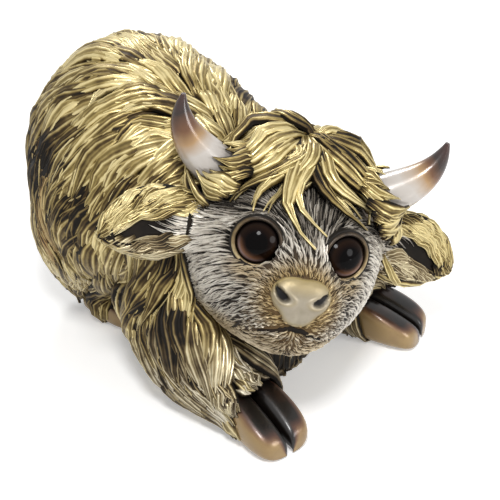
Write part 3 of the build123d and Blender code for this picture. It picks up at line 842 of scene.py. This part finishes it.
# Fringe locks and the tuft on the crown, given one by one: turn, fall, curl, stand and half width
FRINGE = np.array((
    (-12, 79, 8, 6.0, 4.8),
    (-5, 70, 6, 6.6, 4.2),
    (14, 66, 18, 5.4, 3.8),
    (-22, 64, -12, 5.8, 4.2),
    (30, 64, 20, 6.4, 4.0),
    (48, 66, 16, 7.0, 4.0),
    (-30, 64, -16, 6.0, 4.2),
    (-46, 62, -16, 7.0, 4.2),
    (62, 64, 10, 8.6, 4.0),
    (-60, 64, -12, 8.6, 4.2),
    (-74, 54, -10, 10.0, 4.2),
    (74, 54, 10, 10.0, 4.0),
    (-104, 50, 8, 10.0, 4.2),
    (104, 50, -8, 10.0, 4.2),
    (-140, 30, 40, 11.0, 3.6),
    (-118, 34, -35, 11.5, 3.4),
    (-160, 34, -30, 10.0, 3.4),
))


def forelock_paths(rings):
    """The forelock's paths, stands and half widths: its layers, spread evenly over their turns with seeded
    changes, and then the fringe."""
    chance = np.random.default_rng(51)
    rows = []
    for count, first, last, fall, spread, stand, half_width in FORELOCK_LAYERS:
        turn = np.linspace(first, last, count) + chance.normal(0, 5, count)
        side = np.sign(np.sin(np.radians(turn)) + 1e-6)
        rows.append(np.stack((
            turn, fall + chance.uniform(-spread, spread, count), side * chance.uniform(4, 24, count),
            stand * chance.uniform(0.8, 1.2, count), half_width * chance.uniform(0.8, 1.2, count),
        ), 1))
    turn, fall, curl, stand, half_width = np.concatenate((*rows, FRINGE)).T
    start = chance.uniform(-10, 11, len(turn))
    return skull_path(turn, fall, curl, start, rings), stand, half_width


def set_locks(name, path, normals, half_width, share, stand, lift, tip_lift, wave, seed, darker=0.0):
    """Locks on given paths in the coat's first row of colours, their height a share of their half width."""
    points, attributes = sweep_locks(
        path, normals, half_width, share * half_width, CURL, stand, lift, tip_lift, wave, seed
    )
    attributes["tint"] = np.zeros(points.shape[:3])
    attributes["tone"] = attributes["tone"] - darker
    return closed_sections(name, points, gold_hair, attributes)


lock_path, lock_stand, lock_wide = forelock_paths(FORELOCK_RINGS)
forelock_locks = set_locks(
    "forelock_locks", lock_path, skin_normals(lock_path), lock_wide, 0.85, lock_stand, 0.6, 1.2, 0.9, 54, darker=0.18
)
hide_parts("forelock")

# Ruffs round the horns, in two layers: count, how far up the horn they reach, and their shift round it
HORN_WAY = unit(np.array((0.78, 0.60, 0.17)))
RUFF_LAYERS = ((13, 9.0, 0.0), (11, 6.0, 0.3))


def horn_ruffs(rings):
    """Paths and outward ways of the locks round the horns' roots: each starts on the skull, winds a little round
    the horn and ends against it."""
    chance = np.random.default_rng(58)
    u = np.linspace(0, 1, rings)
    paths, outs = [], []
    for seat in HORN_SEATS:
        side = np.sign(seat[0])
        axis = HORN_WAY * np.array((side, 1, 1))
        first = unit(np.cross(axis, (0.0, 0.0, 1.0)))
        second = np.cross(axis, first)
        for count, reach, shift in RUFF_LAYERS:
            spread, start, lean = chance.uniform(-1, 1, (3, count, 1))
            begin = 2 * np.pi * (np.arange(count)[:, None] + shift + 0.3 * start) / count
            turn = begin + side * (0.9 + 0.35 * lean) * u
            out = np.cos(turn)[..., None] * first + np.sin(turn)[..., None] * second
            far = 16.0 - 6.6 * u**0.7
            rise = -4.0 + (reach * (1 + 0.3 * spread) + 4.0) * u
            paths.append(seat + axis * rise[..., None] + out * far[None, :, None])
            outs.append(out)
    return from_head(np.concatenate(paths)), np.concatenate(outs) @ HEAD_AXES


ruff_path, ruff_out = horn_ruffs(RUFF_RINGS)
ruff_wide = np.random.default_rng(59).uniform(2.6, 4.2, len(ruff_path))
set_locks("horn_ruffs", ruff_path, ruff_out, ruff_wide, 0.8, np.full(len(ruff_path), 1.5), 0.3, 0.2, 0.5, 57)

# Mane at the back of the head, and the ruff that hangs from the cheeks
hair(
    "mane_locks", ["head_shell"], gold_hair, crown_comb, 5.2, mane_length, 3.8, 2.8, 61, keep=behind_face,
    arch=by_horns, section=BROAD_LOCK, sway=0.30, hook=0.8, tuft=13.0,
)


def below_ears(points, normals):
    """The edge of the cheeks below the ears, where the ruff hangs from."""
    local = to_head(points)
    beside = (local[:, 2] < 4) & (local[:, 2] > -26) & (np.abs(local[:, 0]) > 24)
    return beside & (local[:, 1] < 4) & (local[:, 1] > -32)


RUFF_FALL = np.array((0.0, -0.30, -0.95))


def ruff_comb(points):
    """Down and a little forward, drawn outward from the head's middle."""
    outward = np.sign(to_head(points)[:, :1]) * head_left
    return unit(RUFF_FALL + 0.25 * outward)


hair(
    "ruff_locks", ["head_shell"], gold_hair, ruff_comb, 5.4, 44, 3.0, 2.6, 66, keep=below_ears,
    section=CURL, rings=9, sway=0.34, lift=0.8, tip_lift=2.0,
)

# Ears
EAR_WAYS = {"left_ear": (0.94, 0.14, -0.14), "right_ear": (-0.94, 0.08, 0.20)}
EAR_LENGTH, EAR_HALF_WIDTH, EAR_DROOP = 42.0, 16.0, 14.0
ear_hair = hair_material("ear_hair", GOLD, UMBER, 0.42, 0.25)


def ear_coat(ear):
    """Locks from the ear's root to its tip, drawn down a little, that leave bare a hollow in its upper front, where the
    ear's near-black paint is painted shade.
    """
    out = unit(np.array(EAR_WAYS[ear])) @ HEAD_AXES
    corners = node_arrays(ear)[0]
    root = HEAD_CENTRE + out * np.quantile((corners - HEAD_CENTRE) @ out, 0.05)

    def places(points):
        """How far a place lies out along the ear, and how far above its drooping middle line."""
        reach = (points - root) @ out / EAR_LENGTH
        return reach, ((points - root) @ head_up + EAR_DROOP * reach**2) / EAR_HALF_WIDTH

    def keep(points, normals):
        """All of the ear but its hollow."""
        reach, up = places(points)
        hollow = (normals @ face_way > 0.20) & (reach < 0.70) & (up > -0.26) & (up < 0.44)
        return ~hollow

    def comb(points):
        """Outward, and more and more downward towards the tip."""
        reach, _ = places(points)
        return unit(out * (1 - 0.45 * reach)[:, None] - head_up * (0.18 + 0.70 * reach)[:, None])

    def tint(points):
        """Umber low on the ear's front, fading towards its tip."""
        reach, up = places(points)
        front = smooth(-0.2, 0.4, skin_normals(points) @ face_way)
        return front * smooth(0.35, -0.1, up) * smooth(1.0, 0.6, reach)

    hair(
        f"{ear}_coat", [ear], ear_hair, comb, 3.7, 20, 2.2, 1.7, 71, keep=keep, tint=tint, sway=0.2,
        lift=0.3, tip_lift=0.3,
    )


for ear in EAR_WAYS:
    ear_coat(ear)

# Face: its comb is listed strokes on the head's left side, in the head's own frame
FACE_STROKES = np.array((
    (3, -14, 48, 0.40, 0.90, 0.00),
    (12, -6, 42, 0.75, 0.60, 0.00),
    (6, 8, 40, 0.35, 0.90, -0.20),
    (8, 22, 34, 0.45, 0.85, -0.30),
    (22, -10, 36, 0.95, 0.05, -0.40),
    (20, -20, 38, 0.85, -0.45, -0.30),
    (5, -25, 46, 0.95, -0.05, -0.20),
    (14, -26, 42, 0.95, -0.20, -0.30),
    (4, -31, 42, 0.85, -0.45, -0.20),
    (12, -33, 38, 0.80, -0.50, -0.30),
    (34, -6, 26, 0.85, -0.10, -0.60),
    (38, 8, 16, 0.75, 0.10, -0.70),
    (30, 16, 28, 0.85, 0.35, -0.40),
    (32, -24, 20, 0.70, -0.55, -0.60),
    (18, -36, 20, 0.40, -0.85, -0.45),
    (42, -8, 0, 0.30, -0.45, -0.85),
    (34, -28, 0, 0.30, -0.70, -0.70),
    (20, 38, 10, 0.50, 0.30, -0.80),
    (36, 22, 0, 0.60, -0.10, -0.80),
))
FACE_REACH = 7.0
face_strokes = both_sides(FACE_STROKES)
EYE_SPACING, EYE_HEIGHT, EYE_RADIUS = 19.0, 4.0, 9.4
EYE_PLACES = np.array(((EYE_SPACING, EYE_HEIGHT), (-EYE_SPACING, EYE_HEIGHT)))
NOSE_DROP = 15.0
NOSE_BARE_HALVES = (11.0, 8.6)
MOUTH_HALF = 13.5


def face_comb(points):
    """The comb of the face, turned from the head's frame."""
    return combed(to_head(points), face_strokes, FACE_REACH) @ HEAD_AXES


def mouth_height(left):
    """How high the mouth line runs at a distance from the face's middle: a shallow frown."""
    return -26.0 - 0.022 * left**2


def on_face(points, normals):
    """Places of the face outside the eyes, the nose pad and the mouth line."""
    local = to_head(points)
    flat = local[:, None, :2] - EYE_PLACES[None]
    eye = (np.linalg.norm(flat, axis=-1) < EYE_RADIUS + 0.5).any(1) & (local[:, 2] > 10)
    wide, high = NOSE_BARE_HALVES
    nose = ((local[:, 0] / wide) ** 2 + ((local[:, 1] + NOSE_DROP - 1) / high) ** 2 < 1) & (local[:, 2] > 20)
    above = local[:, 1] - mouth_height(local[:, 0])
    mouth = (np.abs(above) < 0.8) & (np.abs(local[:, 0]) < MOUTH_HALF + 1) & (local[:, 2] > 10)
    crown = (local[:, 1] > 26) & (local[:, 2] < 30)
    return ~eye & ~nose & ~mouth & ~crown & (local[:, 2] > -4 - 0.5 * np.clip(np.abs(local[:, 0]) - 24, 0, 18))


def face_tint(points):
    """Bronze round the nose pad, under the eyes and on the chin."""
    local = to_head(points)
    nose = np.hypot(local[:, 0] / 1.15, local[:, 1] + NOSE_DROP)
    under = np.hypot((np.abs(local[:, 0]) - 21) / 1.3, local[:, 1] + 7)
    chin = smooth(-26, -33, local[:, 1])
    return np.maximum.reduce((smooth(20, 11, nose), 0.75 * smooth(9, 2, under), 0.7 * chin))


def face_length(roots):
    """Short hair round the nose and above the mouth, longer towards the cheeks and brow."""
    local = to_head(roots)
    full = 4.0 + 14.0 * smooth(12, 34, np.hypot(local[:, 0], local[:, 1] + NOSE_DROP + 4))
    above = local[:, 1] - mouth_height(local[:, 0])
    near = (above > 0) & (above < 8) & (np.abs(local[:, 0]) < 20)
    return np.where(near, np.minimum(full, 2.0 + 0.35 * above), full)


def brow_wash(points):
    """Painted shade above and between the eyes, under the forelock, and less darkening than elsewhere on the cheeks."""
    return 0.75 * smooth(3, 17, to_head(points)[:, 1]) - 0.18


hair(
    "face_coat", ["head_shell"], silver_hair, face_comb, 2.0, face_length, 0.58, 0.95, 41, keep=on_face,
    tint=face_tint, section=STRAND, rings=7, lift=0.2, tip_lift=0.1, wave=0.2, sway=0.42, wash=brow_wash,
)


def on_muzzle(points, normals):
    """Places round the nose and on the chin."""
    local = to_head(points)
    return on_face(points, normals) & (np.hypot(local[:, 0] / 1.25, local[:, 1] + NOSE_DROP + 4) < 17)


hair(
    "muzzle_coat", ["head_shell"], silver_hair, face_comb, 1.35, 3.6, 0.36, 0.55, 45, keep=on_muzzle,
    tint=lambda p: 0.35 + 0.65 * face_tint(p), section=STRAND, rings=4, lift=0.1, tip_lift=0.1, wave=0.1, sway=0.2,
)

# Eyes: glass domes, their lids, and paint that follows the gaze
EYE_TOE_OUT = radians(17.0)
EYE_DOME = 4.6
LID_STEPS, LID_AROUND = 72, 12
LID_HALF_WIDTH, LID_HALF_HEIGHT = 0.95, 1.10
LID_CORNER_TURN, LID_CORNER_SPREAD, LID_CORNER_REACH = 0.45, 0.26, 1.2


def eye_axes(side):
    """An eye's right-handed axes: left, up and the gaze."""
    gaze = np.array((side * sin(EYE_TOE_OUT), 0.0, cos(EYE_TOE_OUT))) @ HEAD_AXES
    left = unit(np.cross(head_up, gaze))
    return np.stack((left, np.cross(gaze, left), gaze))


def eye_seat(node, axes):
    """The middle of an eye's foot: the middle of its outline across the gaze, a dome's height below its top."""
    local = node_arrays(node)[0] @ axes.T
    middle = (local.min(0) + local.max(0)) / 2
    return np.array((middle[0], middle[1], local[:, 2].max() - EYE_DOME)) @ axes


def eye_material(name, seat, axes, side):
    """Dark glass: a black pupil, a brown iris with a crescent on its lower outer side and a lilac band near its rim
    painted lighter, a painted reflection, and a black rim.
    """
    material, tree, body = shader(name, 0.10, coat=0.07, specular=0.03)
    mapping = tree.nodes.new("ShaderNodeMapping")
    mapping.vector_type = "TEXTURE"
    mapping.inputs["Location"].default_value = seat * MM
    mapping.inputs["Rotation"].default_value = Matrix(axes.T.tolist()).to_euler()
    mapping.inputs["Scale"].default_value = (EYE_RADIUS * MM,) * 3
    tree.links.new(place_node(tree), mapping.inputs["Vector"])
    parts = tree.nodes.new("ShaderNodeSeparateXYZ")
    tree.links.new(mapping.outputs[0], parts.inputs[0])
    x, y = parts.outputs[0], parts.outputs[1]
    far = math_node(tree, "SQRT", math_node(
        tree, "ADD", math_node(tree, "MULTIPLY", x, x), math_node(tree, "MULTIPLY", y, y)
    ))
    slope = math_node(tree, "ADD", math_node(tree, "MULTIPLY", x, 0.55 * side), math_node(tree, "MULTIPLY", y, -0.83))
    iris = ramp_node(tree, far, (
        (0.46, (0.0015, 0.001, 0.001)), (0.60, (0.007, 0.003, 0.002)), (0.76, (0.013, 0.006, 0.003)),
        (0.84, (0.006, 0.003, 0.002)), (0.90, (0.0015, 0.001, 0.001)),
    ))
    # Painted reflection: the lower outer crescent of the iris painted lighter, with a lilac band near the rim
    painted_reflection = ramp_node(tree, far, (
        (0.44, (0.002, 0.0015, 0.0015)), (0.56, (0.050, 0.021, 0.010)), (0.70, (0.165, 0.080, 0.045)),
        (0.80, (0.200, 0.135, 0.125)), (0.85, (0.060, 0.032, 0.022)), (0.90, (0.0015, 0.001, 0.001)),
    ))
    crescent = ramp_node(tree, slope, ((0.24, 0.0), (0.66, 1.0)))
    paint(tree, body, mix_colours(tree, crescent, iris, painted_reflection))
    return material


def eye_lid(seat, axes, side):
    """A lid as an oval carried round the eye, drawn out at the inner corner and taller above, and its paint's level.

    The level is higher on the oval's crown, as a painted highlight, and along the lower lid.
    """
    turn = np.linspace(0, 2 * np.pi, LID_STEPS, endpoint=False)
    around = np.linspace(0, 2 * np.pi, LID_AROUND, endpoint=False)
    corner = np.angle(np.exp(1j * (turn - (np.pi + LID_CORNER_TURN if side > 0 else -LID_CORNER_TURN))))
    radius = EYE_RADIUS + 0.5 + LID_CORNER_REACH * np.exp(-(corner / LID_CORNER_SPREAD) ** 2)
    out = np.cos(turn)[:, None] * axes[0] + np.sin(turn)[:, None] * axes[1]
    brow = 1 + 0.35 * np.sin(turn)
    centre = seat + out * radius[:, None] + axes[2] * 0.1
    points = (
        centre[:, None]
        + out[:, None] * (LID_HALF_WIDTH * np.cos(around))[None, :, None]
        + axes[2] * (0.5 + np.outer(brow, LID_HALF_HEIGHT * np.sin(around)))[..., None]
    )
    # Paler on the lid's crest as a painted highlight, and along the lower lid
    crown = np.outer(0.62 - 0.38 * np.sin(turn - side * 0.5), np.clip(0.5 + 0.5 * np.sin(around + 0.5), 0, 1))
    return points[None], {"crown": crown}


lid_paint, lid_tree, lid_body = shader("lid_paint", 0.36, 0.45)
paint(lid_tree, lid_body, ramp_node(lid_tree, mottled(lid_tree, attribute_node(lid_tree, "crown"), 400, 0.5), (
    (0.10, (0.006, 0.004, 0.003)), (0.40, (0.060, 0.038, 0.018)), (0.75, (0.22, 0.155, 0.070)),
    (1.0, (0.44, 0.35, 0.19)),
)))
for side, node in ((1, "left_eye"), (-1, "right_eye")):
    axes = eye_axes(side)
    seat = eye_seat(node, axes)
    lid_points, lid_attributes = eye_lid(seat, axes, side)
    closed_sections(f"{node}_lid", lid_points, lid_paint, lid_attributes, wrap=True)
    finish_casting(node, eye_material(f"{node}_glass", seat, axes, side))

# Nose pad: a shield with rounded shoulders, drawn in below to the mouth, with comma nostrils
NOSE_OUTLINE = np.array((
    (0.0, 8.3), (4.2, 8.8), (8.0, 8.3), (10.8, 6.0), (12.0, 2.6), (11.2, -0.8), (9.0, -3.4), (6.9, -5.8),
    (5.4, -8.4), (2.8, -9.8), (0.0, -10.0),
))
NOSE_ROWS, NOSE_AROUND = 36, 96
NOSTRIL_PLACE, NOSTRIL_TURN = (8.3, 2.0), radians(46.0)
NOSTRIL_HALF_LENGTH, NOSTRIL_DEPTH = 3.6, 3.4
NOSE_AHEAD, NOSE_HEIGHT, NOSE_SUNK = 47.0, 3.6, -1.5


def nose_pad():
    """The shield's outline as a radius for each turn, filled by shrinking it to its middle, raised off the face
    by a rounded edge and sunk at the nostrils. The last rows run under the pad to close it."""
    turn = np.linspace(0, 2 * np.pi, NOSE_AROUND, endpoint=False)
    folded = np.minimum(turn, 2 * np.pi - turn)
    radius = np.interp(folded, np.arctan2(NOSE_OUTLINE[:, 0], NOSE_OUTLINE[:, 1]), np.hypot(*NOSE_OUTLINE.T))
    radius = sum(np.roll(radius, k) for k in range(-3, 4)) / 7
    share = np.concatenate((np.linspace(0.02, 0.9, NOSE_ROWS - 10), 0.9 + 0.1 * np.linspace(0.12, 1, 8), (0.97, 0.5)))
    left = share[:, None] * radius * np.sin(turn)
    up = share[:, None] * radius * np.cos(turn)
    flat = np.stack((left, up - NOSE_DROP, np.full(left.shape, NOSE_AHEAD)), -1)
    base = on_skin(from_head(flat))
    normals = skin_normals(base)
    dome = (1 - share**4) ** 0.5
    high = NOSE_HEIGHT * dome[:, None] * (0.80 + 0.30 * smooth(-8, 8, up))
    x, y = np.abs(left) - NOSTRIL_PLACE[0], up - NOSTRIL_PLACE[1]
    run = x * cos(NOSTRIL_TURN) + y * sin(NOSTRIL_TURN)
    off = -x * sin(NOSTRIL_TURN) + y * cos(NOSTRIL_TURN) - 0.05 * run**2
    gap = np.hypot(run / NOSTRIL_HALF_LENGTH, off / np.maximum(1.45 - 0.20 * run, 0.5))
    pit = smooth(1.14, 0.80, gap)
    rim = np.exp(-((gap - 1.5) / 0.26) ** 2)
    groove = np.exp(-(left / 1.1) ** 2) * smooth(-1, -7, up)
    high = high - NOSTRIL_DEPTH * pit + 0.50 * rim - 0.45 * groove
    high = np.maximum(high, 0.7)
    high[-2:] = NOSE_SUNK
    gilt = 0.75 * smooth(0.5, 7.5, up) + 0.5 * smooth(0.80, 0.97, share)[:, None] + 0.35 * rim * smooth(4, -2, up)
    points = base + normals * high[..., None]
    return points[None], {"pit": pit, "gilt": np.clip(gilt, 0, 1)}


nose_paint, nose_tree, nose_body = shader("nose_paint", 0.44, 0.30, specular=0.3)
nose_mottle = ramp_node(
    nose_tree, noise_node(nose_tree, 220), ((0.25, (0.268, 0.232, 0.170)), (0.75, (0.355, 0.312, 0.240)))
)
nose_gilded = mix_colours(nose_tree, attribute_node(nose_tree, "gilt"), nose_mottle, (0.36, 0.275, 0.120))
paint(nose_tree, nose_body, mix_colours(
    nose_tree, attribute_node(nose_tree, "pit"), nose_gilded, (0.004, 0.003, 0.003)
))
bump(nose_tree, nose_body, noise_node(nose_tree, 900), 0.25, 0.2)
pad_points, pad_attributes = nose_pad()
pad = closed_sections("nose_shield", pad_points, nose_paint, pad_attributes)
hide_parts("nose_pad")

# Mouth: a dark line below the nose, in a gap of the hair: the antique wash and painted shade of the mouth's crease
MOUTH_STEPS, MOUTH_AROUND = 41, 8
MOUTH_AHEAD, MOUTH_HALF_HEIGHT = 44.0, 0.45


def mouth_line():
    """An oval carried along the mouth's frown, resting on the skin, widest in the middle and narrow at its ends."""
    left = np.linspace(-MOUTH_HALF, MOUTH_HALF, MOUTH_STEPS)
    base = on_skin(from_head(np.stack((left, mouth_height(left), np.full(MOUTH_STEPS, MOUTH_AHEAD)), -1)))
    normals = skin_normals(base)
    side = np.cross(normals, unit(np.gradient(base, axis=0)))
    turn = np.linspace(0, 2 * np.pi, MOUTH_AROUND, endpoint=False)
    wide = 0.30 + 0.80 * (1 - (left / MOUTH_HALF) ** 2)
    return (
        base[:, None]
        + side[:, None] * (wide[:, None] * np.cos(turn))[..., None]
        + normals[:, None] * (MOUTH_HALF_HEIGHT + MOUTH_HALF_HEIGHT * np.sin(turn))[None, :, None]
    )


# Near-black paint on the mouth line: painted shade and the antique wash of the crease
mouth_wash = undercoat_material("mouth_wash", (0.004, 0.003, 0.002), (0.016, 0.010, 0.006))
closed_sections("mouth_line", mouth_line()[None], mouth_wash)


# Horns: pearl at the root, amber above it and dark at the tip

def horn_material(node):
    """Paint by the distance from the horn's root to its tip, with a mottle that blurs where colours meet."""
    corners = node_arrays(node)[0]
    reach = np.linalg.norm(corners - HEAD_CENTRE, axis=1)
    tip, root = corners[reach.argmax()], corners[reach < np.quantile(reach, 0.25)].mean(0)
    way = unit(tip - root)
    start, end = float(root @ way), float(tip @ way)
    material, tree, body = shader(f"{node}_paint", 0.26, 0.10, coat=0.35)
    dot = tree.nodes.new("ShaderNodeVectorMath")
    dot.operation = "DOT_PRODUCT"
    tree.links.new(place_node(tree), dot.inputs[0])
    dot.inputs[1].default_value = way / MM
    along = math_node(tree, "DIVIDE", math_node(tree, "SUBTRACT", dot.outputs["Value"], start), end - start)
    paint(tree, body, ramp_node(tree, mottled(tree, along, 70, 0.22), (
        (0.08, (0.16, 0.11, 0.06)), (0.20, (0.44, 0.40, 0.36)), (0.44, (0.50, 0.46, 0.42)),
        (0.60, (0.36, 0.22, 0.10)), (0.72, (0.13, 0.055, 0.022)), (0.84, (0.020, 0.010, 0.007)),
        (1.0, (0.045, 0.016, 0.012)),
    )))
    bump(tree, body, noise_node(tree, 260), 0.15, 0.3)
    return material


for node in ("right_horn", "left_horn"):
    finish_casting(node, horn_material(node))

# Hooves: two toes with a narrow cleft and two dewclaws behind; length, half width, height and splay in degrees
HOOF_SIZES = {"fore": (32.0, 13.0, 20.0, 13.0), "hind": (30.0, 11.0, 15.5, 3.0)}
TOE_ROWS, TOE_AROUND = 22, 24

hoof_paint, hoof_tree, hoof_body = shader("hoof_paint", 0.34, 0.25, coat=0.2)
hoof_level = mottled(hoof_tree, attribute_node(hoof_tree, "shade"), 130, 0.35, 5.0)
paint(hoof_tree, hoof_body, ramp_node(hoof_tree, hoof_level, (
    (0.05, (0.30, 0.20, 0.085)), (0.30, (0.17, 0.090, 0.042)), (0.60, (0.070, 0.030, 0.018)),
    (0.90, (0.006, 0.004, 0.003)),
)))
bump(hoof_tree, hoof_body, noise_node(hoof_tree, 500), 0.2, 0.2)


def squared(wave):
    """A sine or cosine with fuller shoulders: its size to a power below one, with its sign kept."""
    return np.sign(wave) * np.abs(wave) ** 0.72


def hoof(node, side, size):
    """Toes as rounded upright sections along the hoof, lower and narrower towards the tip, with a flat inner
    wall at the cleft; dewclaws as small drops. Shade is 1 at the cleft and on the top under the hair, painted shade
    there, and 0 on the outer wall."""
    length, half_width, height, splay = size
    forward = np.array((side * sin(radians(splay)), -cos(radians(splay)), 0.0))
    left = np.array((-forward[1], forward[0], 0.0))
    corners = node_arrays(node)[0]
    front = (corners @ forward).max()
    low = corners[:, 2].min()
    toes = corners[corners @ forward > front - 0.5 * length]
    middle = ((toes @ left).max() + (toes @ left).min()) / 2
    s = np.linspace(0, 1, TOE_ROWS)[:, None]
    turn = np.linspace(0, 2 * np.pi, TOE_AROUND, endpoint=False)[None]
    c, n = np.cos(turn), np.sin(turn)
    ahead = front - length * 0.94 * (1 - np.sin(0.5 * np.pi * s) ** 1.1)
    slim = np.sqrt(np.clip(1 - s**4.0, 0.0004, 1))
    wide = half_width * 0.52 * (0.90 + 0.14 * np.sin(np.pi * s**0.8)) * slim
    tall = height * (1 - 0.52 * smooth(0.0, 1.0, s)) * np.sqrt(np.clip(1 - s**9, 0.0004, 1))
    bodies, shades = [], []
    for out in (1, -1):
        inner = 0.35 + 1.3 * s**2
        across = out * (inner + wide * (1 + squared(c)))
        rise = low + tall * (0.5 + 0.5 * squared(n))
        lean = -0.22 * height * smooth(0.3, 1.0, rise / height) * s
        place = (ahead + lean)[..., None] * forward + (middle + across)[..., None] * left
        place[..., 2] = rise
        bodies.append(place)
        # Painted shade in the cleft and on the top of the toe under the hair
        cleft = smooth(0.25, -0.75, c) * (0.55 + 0.45 * smooth(-0.8, 0.2, n))
        top_shade = 0.85 * smooth(-0.1, 0.8, n) * smooth(0.92, 0.62, s) * smooth(-0.95, -0.2, -c)
        shades.append(np.maximum(cleft, top_shade) + 0.10 * s + 0 * rise)
    for out in (1, -1):
        around = np.sqrt(np.clip(1 - (2 * s - 1) ** 2, 0.001, 1))
        across = out * (0.60 * half_width + 3.0 * around * c)
        rise = low + 0.62 * height + 3.4 * around * n
        place = (front - 0.98 * length + 9.0 * s + 0 * c)[..., None] * forward + (middle + across)[..., None] * left
        place[..., 2] = rise
        bodies.append(place)
        shades.append(0.75 + 0 * rise)
    piece = closed_sections(f"{node}_toes", np.stack(bodies), hoof_paint, {"shade": np.stack(shades)})
    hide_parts(node)


for side, flank in ((1, "left"), (-1, "right")):
    for end, size in HOOF_SIZES.items():
        hoof(f"{flank}_{end}_hoof", side, size)

# Felt under the brisket and the hooves, and the plug
felt, felt_tree, felt_body = shader("felt", 0.95, specular=0.1)
paint(felt_tree, felt_body, ramp_node(
    felt_tree, noise_node(felt_tree, 900), ((0.3, (0.012, 0.012, 0.013)), (0.7, (0.040, 0.038, 0.038)))
))
bump(felt_tree, felt_body, noise_node(felt_tree, 1600), 0.6, 0.4)
plug, plug_tree, plug_body = shader("plug", 0.7)
paint(plug_tree, plug_body, ramp_node(
    plug_tree, noise_node(plug_tree, 120), ((0.3, (0.025, 0.018, 0.012)), (0.7, (0.055, 0.042, 0.030)))
))

# Finishes of the castings, which show between the locks, and of the felts and the plug
finishes = {name: undercoat for name in HAIRY}
# The ears' near-black paint is painted shade in their hollows
hollow = undercoat_material("ear_hollow", (0.004, 0.003, 0.002), (0.016, 0.011, 0.007))
finishes.update(
    head_shell=face_undercoat_material(), left_ear=hollow, right_ear=hollow, base_felt=felt, hoof_felts=felt,
    base_plug=plug,
)
for name, material in finishes.items():
    finish_casting(name, material)

# Camera, fitted to the photograph's hooves, eyes, horns and outline
CAMERA_AZIMUTH, CAMERA_ELEVATION = radians(-52.0), radians(34.0)
CAMERA_DISTANCE = 700.0
CAMERA_AIM = np.array((0.0, 6.0, 54.0))
FRAME_PIXELS = 500
PIXELS_PER_MM = 2.2
SENSOR_WIDTH = 36.0
camera_back = np.array((
    sin(CAMERA_AZIMUTH) * cos(CAMERA_ELEVATION),
    -cos(CAMERA_AZIMUTH) * cos(CAMERA_ELEVATION),
    sin(CAMERA_ELEVATION),
))
camera_data = bpy.data.cameras.new("camera")
camera_data.sensor_width = SENSOR_WIDTH
camera_data.lens = SENSOR_WIDTH * PIXELS_PER_MM * CAMERA_DISTANCE / FRAME_PIXELS
camera = bpy.data.objects.new("camera", camera_data)
camera.location = (CAMERA_AIM + camera_back * CAMERA_DISTANCE) * MM
camera.rotation_euler = (radians(90) - CAMERA_ELEVATION, 0, CAMERA_AZIMUTH)
scene.collection.objects.link(camera)
scene.camera = camera

# Studio: a pale floor, a white surround and three soft lamps
scene.view_settings.view_transform = "Standard"


def seen_rays(tree):
    """1 for what the camera sees, straight, in a reflection or through glass."""
    path = tree.nodes.new("ShaderNodeLightPath")
    seen = math_node(tree, "MAXIMUM", path.outputs["Is Camera Ray"], path.outputs["Is Glossy Ray"])
    return math_node(tree, "MAXIMUM", seen, path.outputs["Is Transmission Ray"])


AMBIENT = 0.36
world = bpy.data.worlds.new("surround")
scene.world = world
world.use_nodes = True
world_tree = world.node_tree
surround = world_tree.nodes["Background"]
surround.inputs["Color"].default_value = (1, 1, 1, 1)
world_tree.links.new(
    math_node(world_tree, "ADD", AMBIENT, math_node(world_tree, "MULTIPLY", seen_rays(world_tree), 1 - AMBIENT)),
    surround.inputs["Strength"],
)

FLOOR_HALF, FLOOR_GLOW = 900.0, 0.30
floor = helper(
    "floor", FLOOR_HALF * np.array(((-1, -1, 0), (1, -1, 0), (1, 1, 0), (-1, 1, 0))), np.array(((0, 1, 2, 3),))
)
floor_paint, floor_tree, floor_body = shader("floor_paint", 0.9, specular=0.1)
floor_body.inputs["Base Color"].default_value = (0.93, 0.93, 0.93, 1)
floor_body.inputs["Emission Color"].default_value = (1, 1, 1, 1)
floor_tree.links.new(
    math_node(floor_tree, "MULTIPLY", seen_rays(floor_tree), FLOOR_GLOW), floor_body.inputs["Emission Strength"]
)
floor.data.materials.append(floor_paint)


def lamp(name, place, size, power):
    """A round soft lamp that faces the figurine."""
    light = bpy.data.lights.new(name, "AREA")
    light.shape = "DISK"
    light.size = size * MM
    light.energy = power
    item = bpy.data.objects.new(name, light)
    away = unit(np.array(place, dtype=float))
    item.location = np.array(place) * MM
    item.rotation_euler = (np.arccos(away[2]), 0, np.arctan2(away[0], -away[1]))
    scene.collection.objects.link(item)


lamp("key", (-340, -240, 720), 190, 3.9)
lamp("fill", (60, -680, 300), 300, 1.9)
lamp("rim", (380, 420, 520), 260, 2.2)

bpy.data.objects.remove(skin)
